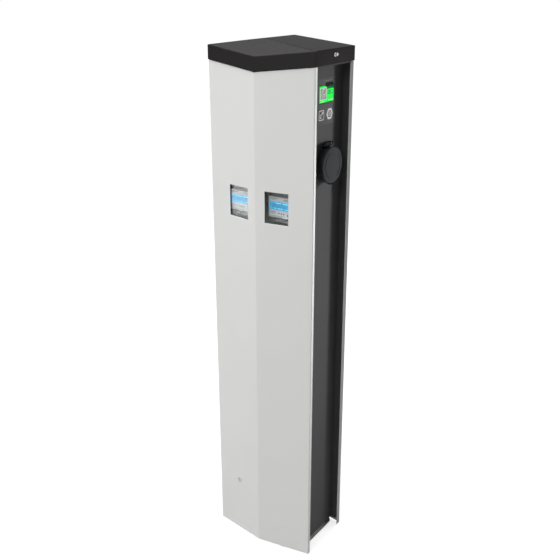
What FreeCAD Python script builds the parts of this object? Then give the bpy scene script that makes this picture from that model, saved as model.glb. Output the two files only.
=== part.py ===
import FreeCAD, Part
import math
import os
import Sketcher

# Charging post for two vehicles: a frame of two side channels on a base plate, clad by a
# front and a rear cover that are each folded along a crease, and closed by a faceted cap.
# X runs to the right, Y to the back and Z up. The origin is on the ground, under the middle.

doc = FreeCAD.newDocument("ChargingPost")
sheet = doc.addObject("Spreadsheet::Sheet", "Dimensions")

dimensions = {
    # outline in plan and height
    "postWidth": 320,  # across the corners of the covers
    "postDepth": 182,  # from front corner to rear corner
    "creaseRise": 25.4,  # how far each crease stands out from the line of its corners
    "coverHeight": 1402,  # top edge of the covers at their corners
    "creaseDrop": 18.6,  # how much lower that edge is at the crease
    "groundGap": 3,
    # covers
    "sheetGauge": 2,
    "frontReturn": 10,
    "rearReturn": 15,
    "coverFit": 0.5,  # gap between a cover and the channel that it wraps
    "tabWidth": 14,
    "tabDrop": 2,
    "tabPlace": 75,
    "tabGauge": 1.2,
    # windows, measured along each half of the front cover from its crease
    "windowStart": 27,
    "windowWidth": 66.6,
    "windowHeight": 83.7,
    "windowDrop": 354,  # middle of the windows below the top edge of the covers
    "sealWidth": 5,
    "sealGauge": 1,
    "paneGauge": 2,
    # cap
    "skirtHeight": 37.7,
    "roofRise": 19.6,
    "capOverhang": 1.5,
    "capGap": 0.7,
    "capWall": 3,
    "bossRadius": 6,
    "bossAcross": 110,
    "bossAlong": 60,
    "badgeLength": 26,
    "badgeHeight": 12,
    "badgeGauge": 0.8,
    "badgeRaise": 23,  # middle of the badge above the top edge of the covers
    # side channels
    "recessDepth": 22,
    "channelWall": 2.5,
    "channelLift": 25,
    "topPlateGauge": 2.5,
    "topWayWidth": 120,
    "topWayDepth": 40,
    # foot
    "baseWidth": 264,
    "baseDepth": 160,
    "baseGauge": 10,
    "anchorAcross": 100,
    "anchorAlong": 64,
    "anchorRadius": 7,
    "cableWayWidth": 130,
    "cableWayDepth": 80,
    "footLength": 90,
    "footLeg": 38,
    "footHeight": 100,
    "footGauge": 5,
    # cross rails and what holds the covers
    "railHeight": 30,
    "railGauge": 3,
    "railFlange": 20,
    "lowRail": 179,  # middle of the two lower rails, and of the lock
    "highRailDrop": 90,  # middle of the two upper rails below the top edge of the covers
    "dowelAcross": 110,
    "dowelRadius": 4,
    "dowelReach": 12,
    "lockAcross": 77,
    "lockRadius": 8,
    "lockStem": 5,
    "lockProud": 1.5,
    "lockHead": 4,  # solid front of the lock before its stem
    "lockReach": 3,  # stem behind the rail
    "keyDepth": 3,
    "keySlot": 2,
    "stemFit": 1,
    "collarGap": 2,
    "socketWall": 4,  # wall of the bushes that the covers carry
    "slideFit": 0.1,
    "screwRadius": 2.5,
    "screwHead": 4.75,
    "headHeight": 3,
    "screwFit": 0.25,
    "capScrewReach": 14,
    "coverScrewReach": 4,  # behind the web of the rail
    "boreSpare": 2,  # how much deeper a screw's hole is than the screw
    # mounting plate and rails for the modular devices
    "plateFront": -25,
    "plateGauge": 2.5,
    "plateLift": 2,  # gap over the foot brackets
    "shoulderGap": 24,  # shoulders of the plate under the barrels of the sockets
    "tongueWidth": 136,
    "tongueDrop": 17,  # top of the tongue below the top edge of the covers
    "plateFlange": 36,
    "dinDepth": 7.5,
    "dinHeight": 35,
    "dinWeb": 25,
    "dinGauge": 1,
    "dinLength": 250,
    "deviceAcross": 62.3,  # middle of a device from the middle of the post
    "meterFront": -93,
    "deviceFront": -84,
    "blockStep": 20,  # how far a device's terminal blocks lie behind its front
    # gaps between the rows of devices from the top, which share out the height that is left
    "protectionGap": 30.5,
    "contactorGap": 35,
    "supplyGap": 32.5,
    "terminalGap": 55,
    "earthGap": 80,
    "clampGap": 150,
    "terminalInset": 10,  # screw heads of a device from its upper and lower edge
    "terminalSink": 5,
    "terminalHead": 3,
    # meters
    "meterWidth": 72,
    "meterHeight": 90,
    "meterBand": 53,
    "displayWidth": 66,
    "displayHeight": 23,
    "displayRaise": 4,
    "lensGauge": 1.5,
    "buttonRadius": 3,
    "buttonAcross": 24,
    "buttonDrop": 17,
    "buttonProud": 1,
    "buttonStroke": 1.5,
    "buttonRoot": 2,
    "buttonFit": 0.3,
    # earth leakage breakers
    "breakerWidth": 72,
    "breakerHeight": 85,
    "deviceBand": 45,
    "leverWidth": 20,
    "leverHub": 6,
    "leverReach": 15,
    "leverGauge": 5,
    "leverFit": 0.5,
    "leverRest": 25,  # lever's tilt above level when switched on
    "testAcross": 26,
    "testRaise": 10,
    "leverWell": 26,
    # contactors, power supply and surge arrester
    "contactorWidth": 54,
    "contactorHeight": 85,
    "contactorBack": 6,  # behind the fronts of the breakers
    "supplyWidth": 70,
    "supplyHeight": 90,
    "supplyBack": 8,
    "surgeWidth": 72,
    "surgeBack": 4,
    # terminals for the supply cable
    "terminalPitch": 12,
    "terminalWidth": 11.8,
    "terminalDepth": 46,
    "terminalHeight": 60,
    "clampScrewAcross": 16,
    "clampScrewSink": 7,
    "clampScrewHead": 3.5,
    # earth bar
    "earthLength": 200,
    "earthHeight": 20,
    "earthGauge": 5,
    "earthRaise": 12,
    "earthFoot": 16,
    "earthFootInset": 5,
    "earthPitch": 20,
    "earthHead": 5,
    "earthHeadProud": 4,
    # rail and clamps for the supply cable
    "clampRow": 265,
    "clampLength": 220,
    "clampHeight": 30,
    "clampDepth": 14,
    "clampLip": 10,
    "clampGauge": 2,
    "clampAcross": 30,
    "saddleWidth": 40,
    "saddleDepth": 38,
    "saddleHeight": 20,
    "cableRadius": 15,
    # charge controllers and antenna
    "controllerAcross": 33,
    "controllerWidth": 62,
    "controllerDepth": 42,
    "controllerHeight": 118,
    "controllerRaise": 22,  # above the shoulders of the mounting plate
    "controllerStep": 16,
    "antennaBack": 35,
    "antennaFlange": 22,
    "antennaFlangeGauge": 6,
    "antennaRadius": 16,
    "antennaHeight": 24,
    # operating panel in each charging side
    "panelWidth": 81,
    "panelHeight": 111,
    "panelDrop": 90,  # middle of the panel below the top edge of the covers
    "panelShift": 2,
    "panelGauge": 3,
    "panelFit": 0.4,
    "panelLip": 4,
    "panelLipGauge": 1.5,
    "screenWidth": 71,
    "screenHeight": 44,
    "screenRaise": 18,  # above the middle of the panel
    "screenShift": -1,
    "screenModule": 9,
    "screenSunk": 0.3,
    "moduleSide": 3,
    "moduleEnd": 5,
    "readerDrop": 28.5,  # below the middle of the panel
    "readerWidth": 66,
    "readerHeight": 39,
    "readerGauge": 8,
    # vehicle socket and its lid
    "socketDrop": 248,  # middle of the socket below the top edge of the covers
    "bezelRadius": 46,
    "bezelGauge": 3,
    "barrelRadius": 34,
    "barrelDepth": 52,
    "mouthRadius": 28,
    "collarRadius": 32,
    "collarReach": 14,
    "mouthFloor": 38,  # depth of the mouth behind the face of the channel
    "islandRadius": 22,
    "islandTop": 6,
    "lidRadius": 47,
    "lidWall": 3,
    "lidGap": 4,
    "lidTabWidth": 22,
    "lidTabReach": 4,
    "lidTabDepth": 8,
    "lidChamfer": 1.5,
    "lipMargin": 0.5,
    "hingeReach": 9,  # hinge axis in front of the face of the channel
    "hingePin": 2,
    "hingeBarrel": 5,
    "hingeEar": 5,
    "hingeSpan": 24,
    "hingeFootLap": 6,
    "hingePress": 0.02,
    "hingeRun": 0.05,
    "barrelClear": 0.5,
    "springRoom": 8.5,  # left of the span for the spring
    "armUnder": 2,
    "springWire": 0.8,
    "springTurns": 5,
    "springPitch": 1,
    "lipGauge": 4.7,
    "powerPin": 3,
    "signalPin": 1.5,
    "pinCircle": 13,
    "pinLength": 26,
    "pinSunk": 3,
    "pinFit": 1,
    "latchPin": 3,
    "latchReach": 18,  # latch pin behind the face of the channel
    "latchFit": 0.3,
    "latchParked": 0.5,  # tip of the resting latch pin above the mouth
    "latchTail": 16,
    "latchSeat": 0.2,
    "actuatorWidth": 30,
    "actuatorHeight": 26,
    "actuatorLength": 36,
    "actuatorShift": 4,
    "actuatorSpare": 7,  # room over the tail of the resting latch pin
    # cutting shapes run past the faces that they cut
    "lead": 1,
    "overrun": 10,
}

# heights and places that follow from those sizes
derived = {
    "windowMiddle": "coverHeight - windowDrop",
    "panelMiddle": "coverHeight - panelDrop",
    "screenMiddle": "panelMiddle + screenRaise",
    "readerMiddle": "panelMiddle - readerDrop",
    "socketMiddle": "coverHeight - socketDrop",
    "badgeMiddle": "coverHeight + badgeRaise",
    "highRail": "coverHeight - highRailDrop",
    "tongueTop": "coverHeight - tongueDrop",
    "plateShoulder": "socketMiddle - barrelRadius - shoulderGap",
    "hingeRaise": "lidRadius + hingeBarrel",
    "rowStack": "meterHeight / 2 + breakerHeight + contactorHeight + supplyHeight"
                " + terminalHeight + earthHeight + clampHeight / 2",
    "gapSum": "protectionGap + contactorGap + supplyGap + terminalGap + earthGap + clampGap",
    "spread": "(windowMiddle - clampRow - rowStack) / gapSum",
    "protectionRow": "windowMiddle - (meterHeight + breakerHeight) / 2 - protectionGap * spread",
    "contactorRow": "protectionRow - (breakerHeight + contactorHeight) / 2 - contactorGap * spread",
    "supplyRow": "contactorRow - (contactorHeight + supplyHeight) / 2 - supplyGap * spread",
    "terminalRow": "supplyRow - (supplyHeight + terminalHeight) / 2 - terminalGap * spread",
    "earthRow": "terminalRow - (terminalHeight + earthHeight) / 2 - earthGap * spread",
}

for alias, formula in derived.items():
    dimensions[alias] = "=" + formula
for row, alias in enumerate(dimensions, start=1):
    sheet.set("A" + str(row), alias)
    sheet.setAlias("B" + str(row), alias)
for row, value in enumerate(dimensions.values(), start=1):
    sheet.set("B" + str(row), str(value))
doc.recompute()

slope = "(creaseRise / (postWidth / 2))"
across = "(sheetGauge * sqrt(1 + " + slope + " ^ 2))"  # one gauge measured along Y
face = "(postWidth / 2 - recessDepth)"  # bottom of the recess in each charging side
inside = "(" + face + " - channelWall)"
frontWall = "(-postDepth / 2 + frontReturn)"  # front wall of each recess
rearWall = "(postDepth / 2 - rearReturn)"
skirtFoot = "(coverHeight + capGap)"
plateTop = "coverHeight"
railSeat = "(" + frontWall + " - channelWall)"
rearSeat = "(" + rearWall + " + channelWall)"
nodes = {}


def worded(text):
    """The expression with every alias written as a cell of the sheet."""
    out = ""
    word = ""
    for letter in text + " ":
        if letter.isalnum():
            word += letter
            continue
        out += "Dimensions." + word if word in dimensions else word
        out += letter
        word = ""
    return out.strip()


def tie(thing, prop, text):
    thing.setExpression(prop, worded(text))


def flipped(pair, flip):
    """A range of x or y, turned half a turn about Z when flip is set."""
    low, high = pair
    return ("-(" + high + ")", "-(" + low + ")") if flip else pair


def block(name, x, y, z, flip=False):
    """A box between pairs of expressions."""
    box = doc.addObject("Part::Box", name)
    x = flipped(x, flip)
    y = flipped(y, flip)
    for prop, side, pair in (("Length", "x", x), ("Width", "y", y), ("Height", "z", z)):
        tie(box, prop, "(" + pair[1] + ") - (" + pair[0] + ")")
        tie(box, "Placement.Base." + side, pair[0])
    return box


turns = {
    "x": FreeCAD.Rotation(FreeCAD.Vector(0, 1, 0), 90),
    "y": FreeCAD.Rotation(FreeCAD.Vector(1, 0, 0), -90),
    "z": FreeCAD.Rotation(),
}


def rod(name, along, start, length, radius, flip=False):
    """A cylinder from its start point, three expressions, along one axis."""
    x, y, z = start
    if flip and along != "z":
        if along == "x":
            x = "(" + x + ") + (" + length + ")"
        else:
            y = "(" + y + ") + (" + length + ")"
    if flip:
        x = "-(" + x + ")"
        y = "-(" + y + ")"
    bar = doc.addObject("Part::Cylinder", name)
    bar.Placement = FreeCAD.Placement(FreeCAD.Vector(), turns[along])
    tie(bar, "Radius", radius)
    tie(bar, "Height", length)
    tie(bar, "Placement.Base.x", x)
    tie(bar, "Placement.Base.y", y)
    tie(bar, "Placement.Base.z", z)
    return bar


def joined(name, things):
    fuse = doc.addObject("Part::MultiFuse", name)
    fuse.Shapes = things
    return fuse


def cut(name, base, tools):
    """The base less one tool, or less several that are joined first."""
    less = doc.addObject("Part::Cut", name)
    less.Base = base
    less.Tool = tools[0] if len(tools) == 1 else joined(name + "Tools", tools)
    return less


def group(name, things):
    bundle = doc.addObject("Part::Compound", name)
    bundle.Links = things
    return bundle


def keep(label, thing):
    """Makes a finished thing the node of that name."""
    thing.Label = label
    nodes[label] = thing
    return thing


def plane(body, role):
    return [f for f in body.Origin.OriginFeatures if f.Role == role][0]


def newBody(name):
    return doc.addObject("PartDesign::Body", name)


def sketch(body, role, name, outlines=(), circles=(), lift="0"):
    """A sketch on one of the body's own planes: closed outlines of corner expressions, and
    circles as (x, y, radius) expressions. Every corner and centre is tied to the sheet."""
    plan = body.newObject("Sketcher::SketchObject", name)
    plan.AttachmentSupport = [(plane(body, role), "")]
    plan.MapMode = "FlatFace"
    tie(plan, "AttachmentOffset.Base.z", lift)
    fixed = []
    for corners in outlines:
        count = len(corners)
        first = plan.GeometryCount
        ring = []
        for i in range(count):
            turn = 2 * math.pi * i / count
            ring.append(FreeCAD.Vector(100 * math.cos(turn), 100 * math.sin(turn), 0))
        for i in range(count):
            plan.addGeometry(Part.LineSegment(ring[i], ring[(i + 1) % count]), False)
        for i in range(count):
            plan.addConstraint(
                Sketcher.Constraint("Coincident", first + i, 2, first + (i + 1) % count, 1)
            )
        for i, (x, y) in enumerate(corners):
            fixed.append((first + i, 1, ring[i], x, y))
    for x, y, radius in circles:
        centre = FreeCAD.Vector(10, 10, 0)
        index = plan.addGeometry(Part.Circle(centre, FreeCAD.Vector(0, 0, 1), 5), False)
        number = plan.addConstraint(Sketcher.Constraint("Radius", index, 5))
        tie(plan, "Constraints[" + str(number) + "]", radius)
        fixed.append((index, 3, centre, x, y))
    for index, point, place, x, y in fixed:
        for kind, value, text in (("DistanceX", place.x, x), ("DistanceY", place.y, y)):
            number = plan.addConstraint(Sketcher.Constraint(kind, -1, 1, index, point, value))
            tie(plan, "Constraints[" + str(number) + "]", text)
    return plan


def pad(body, plan, name, length, midplane=False, reverse=False):
    thick = body.newObject("PartDesign::Pad", name)
    thick.Profile = plan
    tie(thick, "Length", length)
    thick.Midplane = midplane
    thick.Reversed = reverse
    return thick


def pocket(body, plan, name):
    """Cuts the profile right through, both ways from its plane."""
    hollow = body.newObject("PartDesign::Pocket", name)
    hollow.Profile = plan
    hollow.Type = "ThroughAll"
    hollow.Midplane = True
    return hollow


def rectangle(x0, x1, y0, y1):
    return [(x0, y0), (x1, y0), (x1, y1), (x0, y1)]


# ---- base plate with its anchor holes and the way in for the supply cable ----
body = newBody("BasePlate")
anchors = []
for sx in ("-", ""):
    for sy in ("-", ""):
        anchors.append((sx + "anchorAcross", sy + "anchorAlong", "anchorRadius"))
plan = sketch(
    body, "XY_Plane", "BaseOutline",
    [
        rectangle("-baseWidth / 2", "baseWidth / 2", "-baseDepth / 2", "baseDepth / 2"),
        rectangle("-cableWayWidth / 2", "cableWayWidth / 2",
                  "-cableWayDepth / 2", "cableWayDepth / 2"),
    ],
    anchors,
)
pad(body, plan, "BaseThickness", "baseGauge")
keep("base_plate", body)

# ---- foot brackets: angles that stand on the base plate and carry the channels ----
feet = []
for flip in (False, True):
    leg = block("FootLeg", (inside + " - footGauge", inside),
                ("-footLength / 2", "footLength / 2"),
                ("baseGauge", "baseGauge + footHeight"), flip)
    sole = block("FootSole", (inside + " - footLeg", inside),
                 ("-footLength / 2", "footLength / 2"),
                 ("baseGauge", "baseGauge + footGauge"), flip)
    feet.append(joined("FootBracket", [leg, sole]))
keep("foot_brackets", group("FootBrackets", feet))


# ---- side channels: the recessed charging sides, open outwards ----
def sideChannel(side, flip):
    body = newBody("SideChannel")
    tip = "(postWidth / 2 - sheetGauge - coverFit)"
    corners = [
        (tip, railSeat), (tip, frontWall), (face, frontWall), (face, rearWall),
        (tip, rearWall), (tip, rearSeat), (inside, rearSeat), (inside, railSeat),
    ]
    if flip:
        corners = [("-(" + x + ")", y) for x, y in corners]
    plan = sketch(body, "XY_Plane", "ChannelProfile", [corners], lift="channelLift")
    pad(body, plan, "ChannelLength", plateTop + " - topPlateGauge - channelLift")
    middle = "-(panelShift)" if flip else "panelShift"
    opening = rectangle(
        middle + " - panelWidth / 2 - panelFit", middle + " + panelWidth / 2 + panelFit",
        "panelMiddle - panelHeight / 2 - panelFit", "panelMiddle + panelHeight / 2 + panelFit",
    )
    holes = sketch(body, "YZ_Plane", "ChannelOpenings", [opening],
                   [("0", "socketMiddle", "barrelRadius + panelFit")])
    pocket(body, holes, "ChannelCutouts")
    keep("side_channel_" + side, body)


for side, flip in (("right", False), ("left", True)):
    sideChannel(side, flip)

# ---- top plate: ties the channels together and carries the cap ----
body = newBody("TopPlate")
tip = "(postWidth / 2 - sheetGauge - coverFit)"
bosses = []
for sx in ("-", ""):
    for sy in ("-", ""):
        bosses.append((sx + "bossAcross", sy + "bossAlong", "screwRadius + screwFit"))
plan = sketch(
    body, "XY_Plane", "TopOutline",
    [rectangle("-" + tip, tip, railSeat, rearSeat),
     rectangle("-topWayWidth / 2", "topWayWidth / 2", "-topWayDepth", "0")],
    bosses, lift=plateTop + " - topPlateGauge",
)
pad(body, plan, "TopThickness", "topPlateGauge")
keep("top_plate", body)

# ---- cross rails: straps between the channels that the covers are held to ----
def crossRail(name, seat, turn, middle, holes):
    body = newBody(name)
    front = seat
    back = "(" + seat + turn + "railGauge)"
    flange = "(" + back + turn + "railFlange)"
    inner = "(" + inside + " - railGauge)"
    corners = [
        ("-" + inside, front), (inside, front), (inside, flange), (inner, flange),
        (inner, back), ("-" + inner, back), ("-" + inner, flange), ("-" + inside, flange),
    ]
    plan = sketch(body, "XY_Plane", name + "Profile", [corners],
                  lift=middle + " - railHeight / 2")
    pad(body, plan, name + "Height", "railHeight")
    if holes:
        drilled = sketch(body, "XZ_Plane", name + "Holes", [],
                         [(x, middle, radius) for x, radius in holes])
        pocket(body, drilled, name + "Drilled")
    return body


screwHole = "screwRadius + screwFit"
rearHoles = [("-dowelAcross", screwHole), ("dowelAcross", screwHole)]
rails = [
    crossRail("HighFrontRail", railSeat, " + ", "highRail", []),
    crossRail("LowFrontRail", railSeat, " + ", "lowRail", [("-lockAcross", "lockStem + stemFit")]),
    crossRail("HighRearRail", rearSeat, " - ", "highRail", rearHoles),
    crossRail("LowRearRail", rearSeat, " - ", "lowRail", rearHoles),
]
keep("cross_rails", group("CrossRails", rails))

# ---- dowels on the front rails, and the bush that takes the lock ----
dowels = []
for x, z in (("-dowelAcross", "highRail"), ("dowelAcross", "highRail"), ("lockAcross", "lowRail")):
    dowels.append(rod("Dowel", "y", (x, railSeat + " - dowelReach", z),
                      "dowelReach", "dowelRadius"))
keep("cover_dowels", group("CoverDowels", dowels))
bushFront = "(" + railSeat + " - socketWall)"
outer = rod("ReceptacleBody", "y", ("-lockAcross", bushFront, "lowRail"), "socketWall",
            "lockStem + socketWall")
bore = rod("ReceptacleBore", "y", ("-lockAcross", bushFront, "lowRail"), "socketWall",
           "lockStem + slideFit")
keep("lock_receptacle", cut("Receptacle", outer, [bore]))


# ---- covers ----
def coverFace(x):
    """Outer face of the front cover at a distance x from the middle plane."""
    return "(-postDepth / 2 - creaseRise + (" + x + ") * " + slope + ")"


def coverBody(name, front):
    """A sheet folded along a crease in the middle and returned along both sides."""
    body = newBody(name)
    back = "" if front else "-"
    half = "(postWidth / 2)"
    inner = "(postWidth / 2 - sheetGauge)"
    returned = "frontReturn" if front else "rearReturn"
    corner = "(-postDepth / 2)"
    end = "(-postDepth / 2 + " + returned + ")"
    crease = "(-postDepth / 2 - creaseRise)"
    corners = [
        ("0", crease), (half, corner), (half, end), (inner, end),
        (inner, corner + " + " + across + " - sheetGauge * " + slope),
        ("0", crease + " + " + across),
        ("-" + inner, corner + " + " + across + " - sheetGauge * " + slope),
        ("-" + inner, end), ("-" + half, end), ("-" + half, corner),
    ]
    corners = [(x, back + "(" + y + ")") for x, y in corners]
    plan = sketch(body, "XY_Plane", name + "Profile", [corners], lift="groundGap")
    pad(body, plan, name + "Height", "coverHeight - groundGap")
    above = "coverHeight + overrun"
    shoulder = [
        ("0", "coverHeight - creaseDrop"), ("postWidth / 2", "coverHeight"),
        ("postWidth", "coverHeight"), ("postWidth", above), ("-postWidth", above),
        ("-postWidth", "coverHeight"), ("-postWidth / 2", "coverHeight"),
    ]
    trim = sketch(body, "XZ_Plane", name + "TopEdge", [shoulder])
    pocket(body, trim, name + "Shoulders")
    return body


def bush(name, x, z, reach, start, flip=False):
    """A tube along Y that a cover carries on its inner face."""
    return rod(name, "y", (x, start, z), reach, "dowelRadius + socketWall", flip)


run = "cos(atan(" + slope + "))"
near = "(windowStart * " + run + ")"
far = "((windowStart + windowWidth) * " + run + ")"
low = "windowMiddle - windowHeight / 2"
high = "windowMiddle + windowHeight / 2"
body = coverBody("FrontCover", True)
lookIn = [rectangle(near, far, low, high), rectangle("-" + far, "-" + near, low, high)]
windows = sketch(body, "XZ_Plane", "WindowOutlines", lookIn,
                 [("-lockAcross", "lowRail", "lockRadius + slideFit")])
pocket(body, windows, "Windows")
tab = block("CoverTab", ("tabPlace - tabWidth / 2", "tabPlace + tabWidth / 2"),
            (coverFace("tabPlace") + " + (sheetGauge - tabGauge) / 2",
             coverFace("tabPlace") + " + (sheetGauge + tabGauge) / 2"),
            ("groundGap - tabDrop", "groundGap + tabDrop"))
bushes = []
bores = []
for x, z, side in (("-dowelAcross", "highRail", "dowelAcross"),
                   ("dowelAcross", "highRail", "dowelAcross"),
                   ("lockAcross", "lowRail", "lockAcross")):
    start = coverFace(side) + " + sheetGauge / 2"
    end = railSeat + " - socketWall / 2"
    bushes.append(bush("DowelBush", x, z, end + " - (" + start + ")", start))
    bores.append(rod("DowelBore", "y", (x, railSeat + " - dowelReach - lead", z),
                     "dowelReach + lead", "dowelRadius + slideFit"))
collarStart = coverFace("lockAcross") + " + sheetGauge / 2"
collarEnd = bushFront + " - collarGap"
bushes.append(rod("LockCollar", "y", ("-lockAcross", collarStart, "lowRail"),
                  collarEnd + " - (" + collarStart + ")", "lockRadius + socketWall"))
bores.append(rod("LockBore", "y", ("-lockAcross", collarStart + " - overrun", "lowRail"),
                 collarEnd + " - (" + collarStart + ") + overrun", "lockRadius + slideFit"))
full = joined("FrontCoverParts", [body, tab] + bushes)
keep("front_cover", cut("FrontCoverDone", full, bores))

body = coverBody("RearCover", False)
pillars = []
bores = []
for x in ("-dowelAcross", "dowelAcross"):
    for z in ("highRail", "lowRail"):
        length = "-" + coverFace("dowelAcross") + " - sheetGauge / 2 - " + rearSeat
        pillars.append(rod("RearPillar", "y", (x, rearSeat, z), length,
                           "screwRadius + socketWall"))
        bores.append(rod("RearBore", "y", (x, rearSeat + " - lead", z),
                         "creaseRise + rearReturn + overrun", "screwRadius + screwFit"))
full = joined("RearCoverParts", [body] + pillars)
keep("rear_cover", cut("RearCoverDone", full, bores))

# ---- windows of the front cover: pane and seal behind each opening ----
lean = "atan(" + slope + ")"
seals = []
for side, sign in (("right", 1), ("left", -1)):
    def leaf(name, grow, behind, gauge):
        """A flat piece behind one half of the cover, larger than its window by grow."""
        box = doc.addObject("Part::Box", name)
        box.Placement.Rotation = FreeCAD.Rotation(FreeCAD.Vector(0, 0, 1), 9)
        tie(box, "Length", "windowWidth + 2 * (" + grow + ")")
        tie(box, "Width", gauge)
        tie(box, "Height", "windowHeight + 2 * (" + grow + ")")
        first = "(windowStart - (" + grow + "))"
        if sign < 0:
            first = "(-(windowStart + windowWidth + (" + grow + ")))"
        angle = lean if sign > 0 else "-" + lean
        depth = "(" + behind + ")"
        tie(box, "Placement.Rotation.Angle", angle)
        tie(box, "Placement.Base.x",
            first + " * cos(" + angle + ") - " + depth + " * sin(" + angle + ")")
        tie(box, "Placement.Base.y", "-postDepth / 2 - creaseRise + " + first
            + " * sin(" + angle + ") + " + depth + " * cos(" + angle + ")")
        tie(box, "Placement.Base.z", "windowMiddle - windowHeight / 2 - (" + grow + ")")
        return box

    keep("window_pane_" + side,
         group("WindowPane", [leaf("Pane", "sealWidth", "sheetGauge + sealGauge", "paneGauge")]))
    ring = cut("WindowSeal", leaf("SealOutside", "sealWidth", "sheetGauge", "sealGauge"),
               [leaf("SealInside", "0", "sheetGauge - lead", "sealGauge + 2 * lead")])
    seals.append(ring)
keep("window_gaskets", group("WindowGaskets", seals))

# ---- lock of the front cover ----
headFront = "(" + coverFace("lockAcross") + " - lockProud)"
stemEnd = railSeat + " + railGauge + lockReach"
head = rod("LockHead", "y", ("-lockAcross", headFront, "lowRail"),
           collarEnd + " - " + headFront, "lockRadius")
stem = rod("LockStem", "y", ("-lockAcross", headFront + " + lockHead", "lowRail"),
           stemEnd + " - " + headFront + " - lockHead", "lockStem")
key = rod("KeyWay", "y", ("-lockAcross", headFront + " - lead", "lowRail"), "keyDepth + lead",
          "lockStem / 2")
slot = block("KeySlot", ("-lockAcross - keySlot / 2", "-lockAcross + keySlot / 2"),
             (headFront + " - lead", headFront + " + keyDepth"),
             ("lowRail - lockStem", "lowRail + lockStem"))
keep("cover_lock", cut("CoverLock", joined("LockBody", [head, stem]), [key, slot]))


# ---- cap: a hollow hexagon under two roof slopes and a front and a rear facet ----
def roofed(name, inset, drop, foot):
    """The six-sided prism under the roof; inset moves its sides in and drop its roof down."""
    body = newBody(name)
    half = "(postWidth / 2 + capOverhang - (" + inset + "))"
    corner = "(postDepth / 2 + capOverhang * " + slope + " + (capOverhang - (" + inset + ")) "
    corner += " * (sqrt(1 + " + slope + " ^ 2) - " + slope + "))"
    crease = "(postDepth / 2 + creaseRise + (capOverhang - (" + inset + ")) "
    crease += "* sqrt(1 + " + slope + " ^ 2))"
    hexagon = [
        ("0", "-" + crease), (half, "-" + corner), (half, corner),
        ("0", crease), ("-" + half, corner), ("-" + half, "-" + corner),
    ]
    top = "(" + skirtFoot + " + skirtHeight)"
    ridge = "(" + top + " + roofRise - (" + drop + "))"
    plan = sketch(body, "XY_Plane", name + "Plan", [hexagon], lift=foot)
    pad(body, plan, name + "Height", ridge + " + 2 * overrun - (" + foot + ")")
    eaves = "(" + top + " - (" + drop + "))"
    wide = "postWidth"
    fall = "roofRise"  # beyond the eaves the slope runs on to twice the half width
    roof = [("0", ridge), (wide, eaves + " - " + fall), (wide, ridge + " + 3 * overrun"),
            ("-" + wide, ridge + " + 3 * overrun"), ("-" + wide, eaves + " - " + fall)]
    pocket(body, sketch(body, "XZ_Plane", name + "Roof", [roof]), name + "Slopes")
    steep = "(creaseDrop / creaseRise)"
    edge = "(postDepth / 2)"
    reach = "(roofRise / " + steep + ")"
    for sign, word in (("-", "Front"), ("", "Rear")):
        facet = [
            (sign + "(" + edge + " - " + reach + " - 2 * overrun / " + steep + ")",
             ridge + " + 2 * overrun"),
            (sign + "(" + edge + " + 6 * overrun)", eaves + " - 6 * overrun * " + steep),
            (sign + "(" + edge + " + 6 * overrun)", ridge + " + 2 * overrun"),
        ]
        pocket(body, sketch(body, "YZ_Plane", name + word, [facet]), name + word + "Facet")
    return body


foot = "(" + skirtFoot + " - creaseDrop)"
outer = roofed("CapOutside", "0", "0", foot)
skirt = [
    ("0", foot), ("postWidth / 2", skirtFoot), ("postWidth", skirtFoot),
    ("postWidth", foot + " - overrun"), ("-postWidth", foot + " - overrun"),
    ("-postWidth", skirtFoot), ("-postWidth / 2", skirtFoot),
]
pocket(outer, sketch(outer, "XZ_Plane", "SkirtEdge", [skirt]), "SkirtFoot")
inner = roofed("CapInside", "capWall", "capWall", foot + " - lead")
shell = cut("CapShell", outer, [inner])
columns = []
bores = []
for sx in ("-", ""):
    for sy in ("-", ""):
        place = (sx + "bossAcross", sy + "bossAlong", plateTop)
        roofHere = (skirtFoot + " + skirtHeight + roofRise * (1 - bossAcross / (postWidth / 2))"
                    " - capWall / 2 - " + plateTop)
        columns.append(rod("CapBoss", "z", place, roofHere, "bossRadius"))
        bores.append(rod("CapBore", "z", place, "capScrewReach + boreSpare",
                         "screwRadius + slideFit"))
keep("cap", cut("CapDone", joined("CapParts", [shell] + columns), bores))

badges = []
for flip in (False, True):
    start = "(postWidth / 2 + capOverhang)"
    straight = "(badgeLength - badgeHeight) / 2"
    pieces = [block("BadgeBar", (start, start + " + badgeGauge"),
                    ("-" + straight, straight),
                    ("badgeMiddle - badgeHeight / 2", "badgeMiddle + badgeHeight / 2"), flip)]
    for sy in ("-", ""):
        pieces.append(rod("BadgeEnd", "x", (start, sy + straight, "badgeMiddle"),
                          "badgeGauge", "badgeHeight / 2", flip))
    badges.append(joined("Badge", pieces))
keep("cap_badges", group("CapBadges", badges))

# ---- screws: four up into the cap, four through the rear cover into its rails ----
screws = []
for sx in ("-", ""):
    for sy in ("-", ""):
        x = sx + "bossAcross"
        y = sy + "bossAlong"
        under = "(" + plateTop + " - topPlateGauge)"
        screws.append(joined("CapScrew", [
            rod("CapScrewStem", "z", (x, y, under), "topPlateGauge + capScrewReach",
                "screwRadius"),
            rod("CapScrewHead", "z", (x, y, under + " - headHeight"), "headHeight", "screwHead"),
        ]))
    for z in ("highRail", "lowRail"):
        x = sx + "dowelAcross"
        outside = "(-" + coverFace("dowelAcross") + " + screwHead * " + slope + ")"
        screws.append(joined("CoverScrew", [
            rod("CoverScrewStem", "y", (x, rearSeat + " - railGauge - coverScrewReach", z),
                outside + " - " + rearSeat + " + railGauge + coverScrewReach", "screwRadius"),
            rod("CoverScrewHead", "y", (x, outside, z), "headHeight", "screwHead"),
        ]))
keep("fixing_screws", group("FixingScrews", screws))

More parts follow.
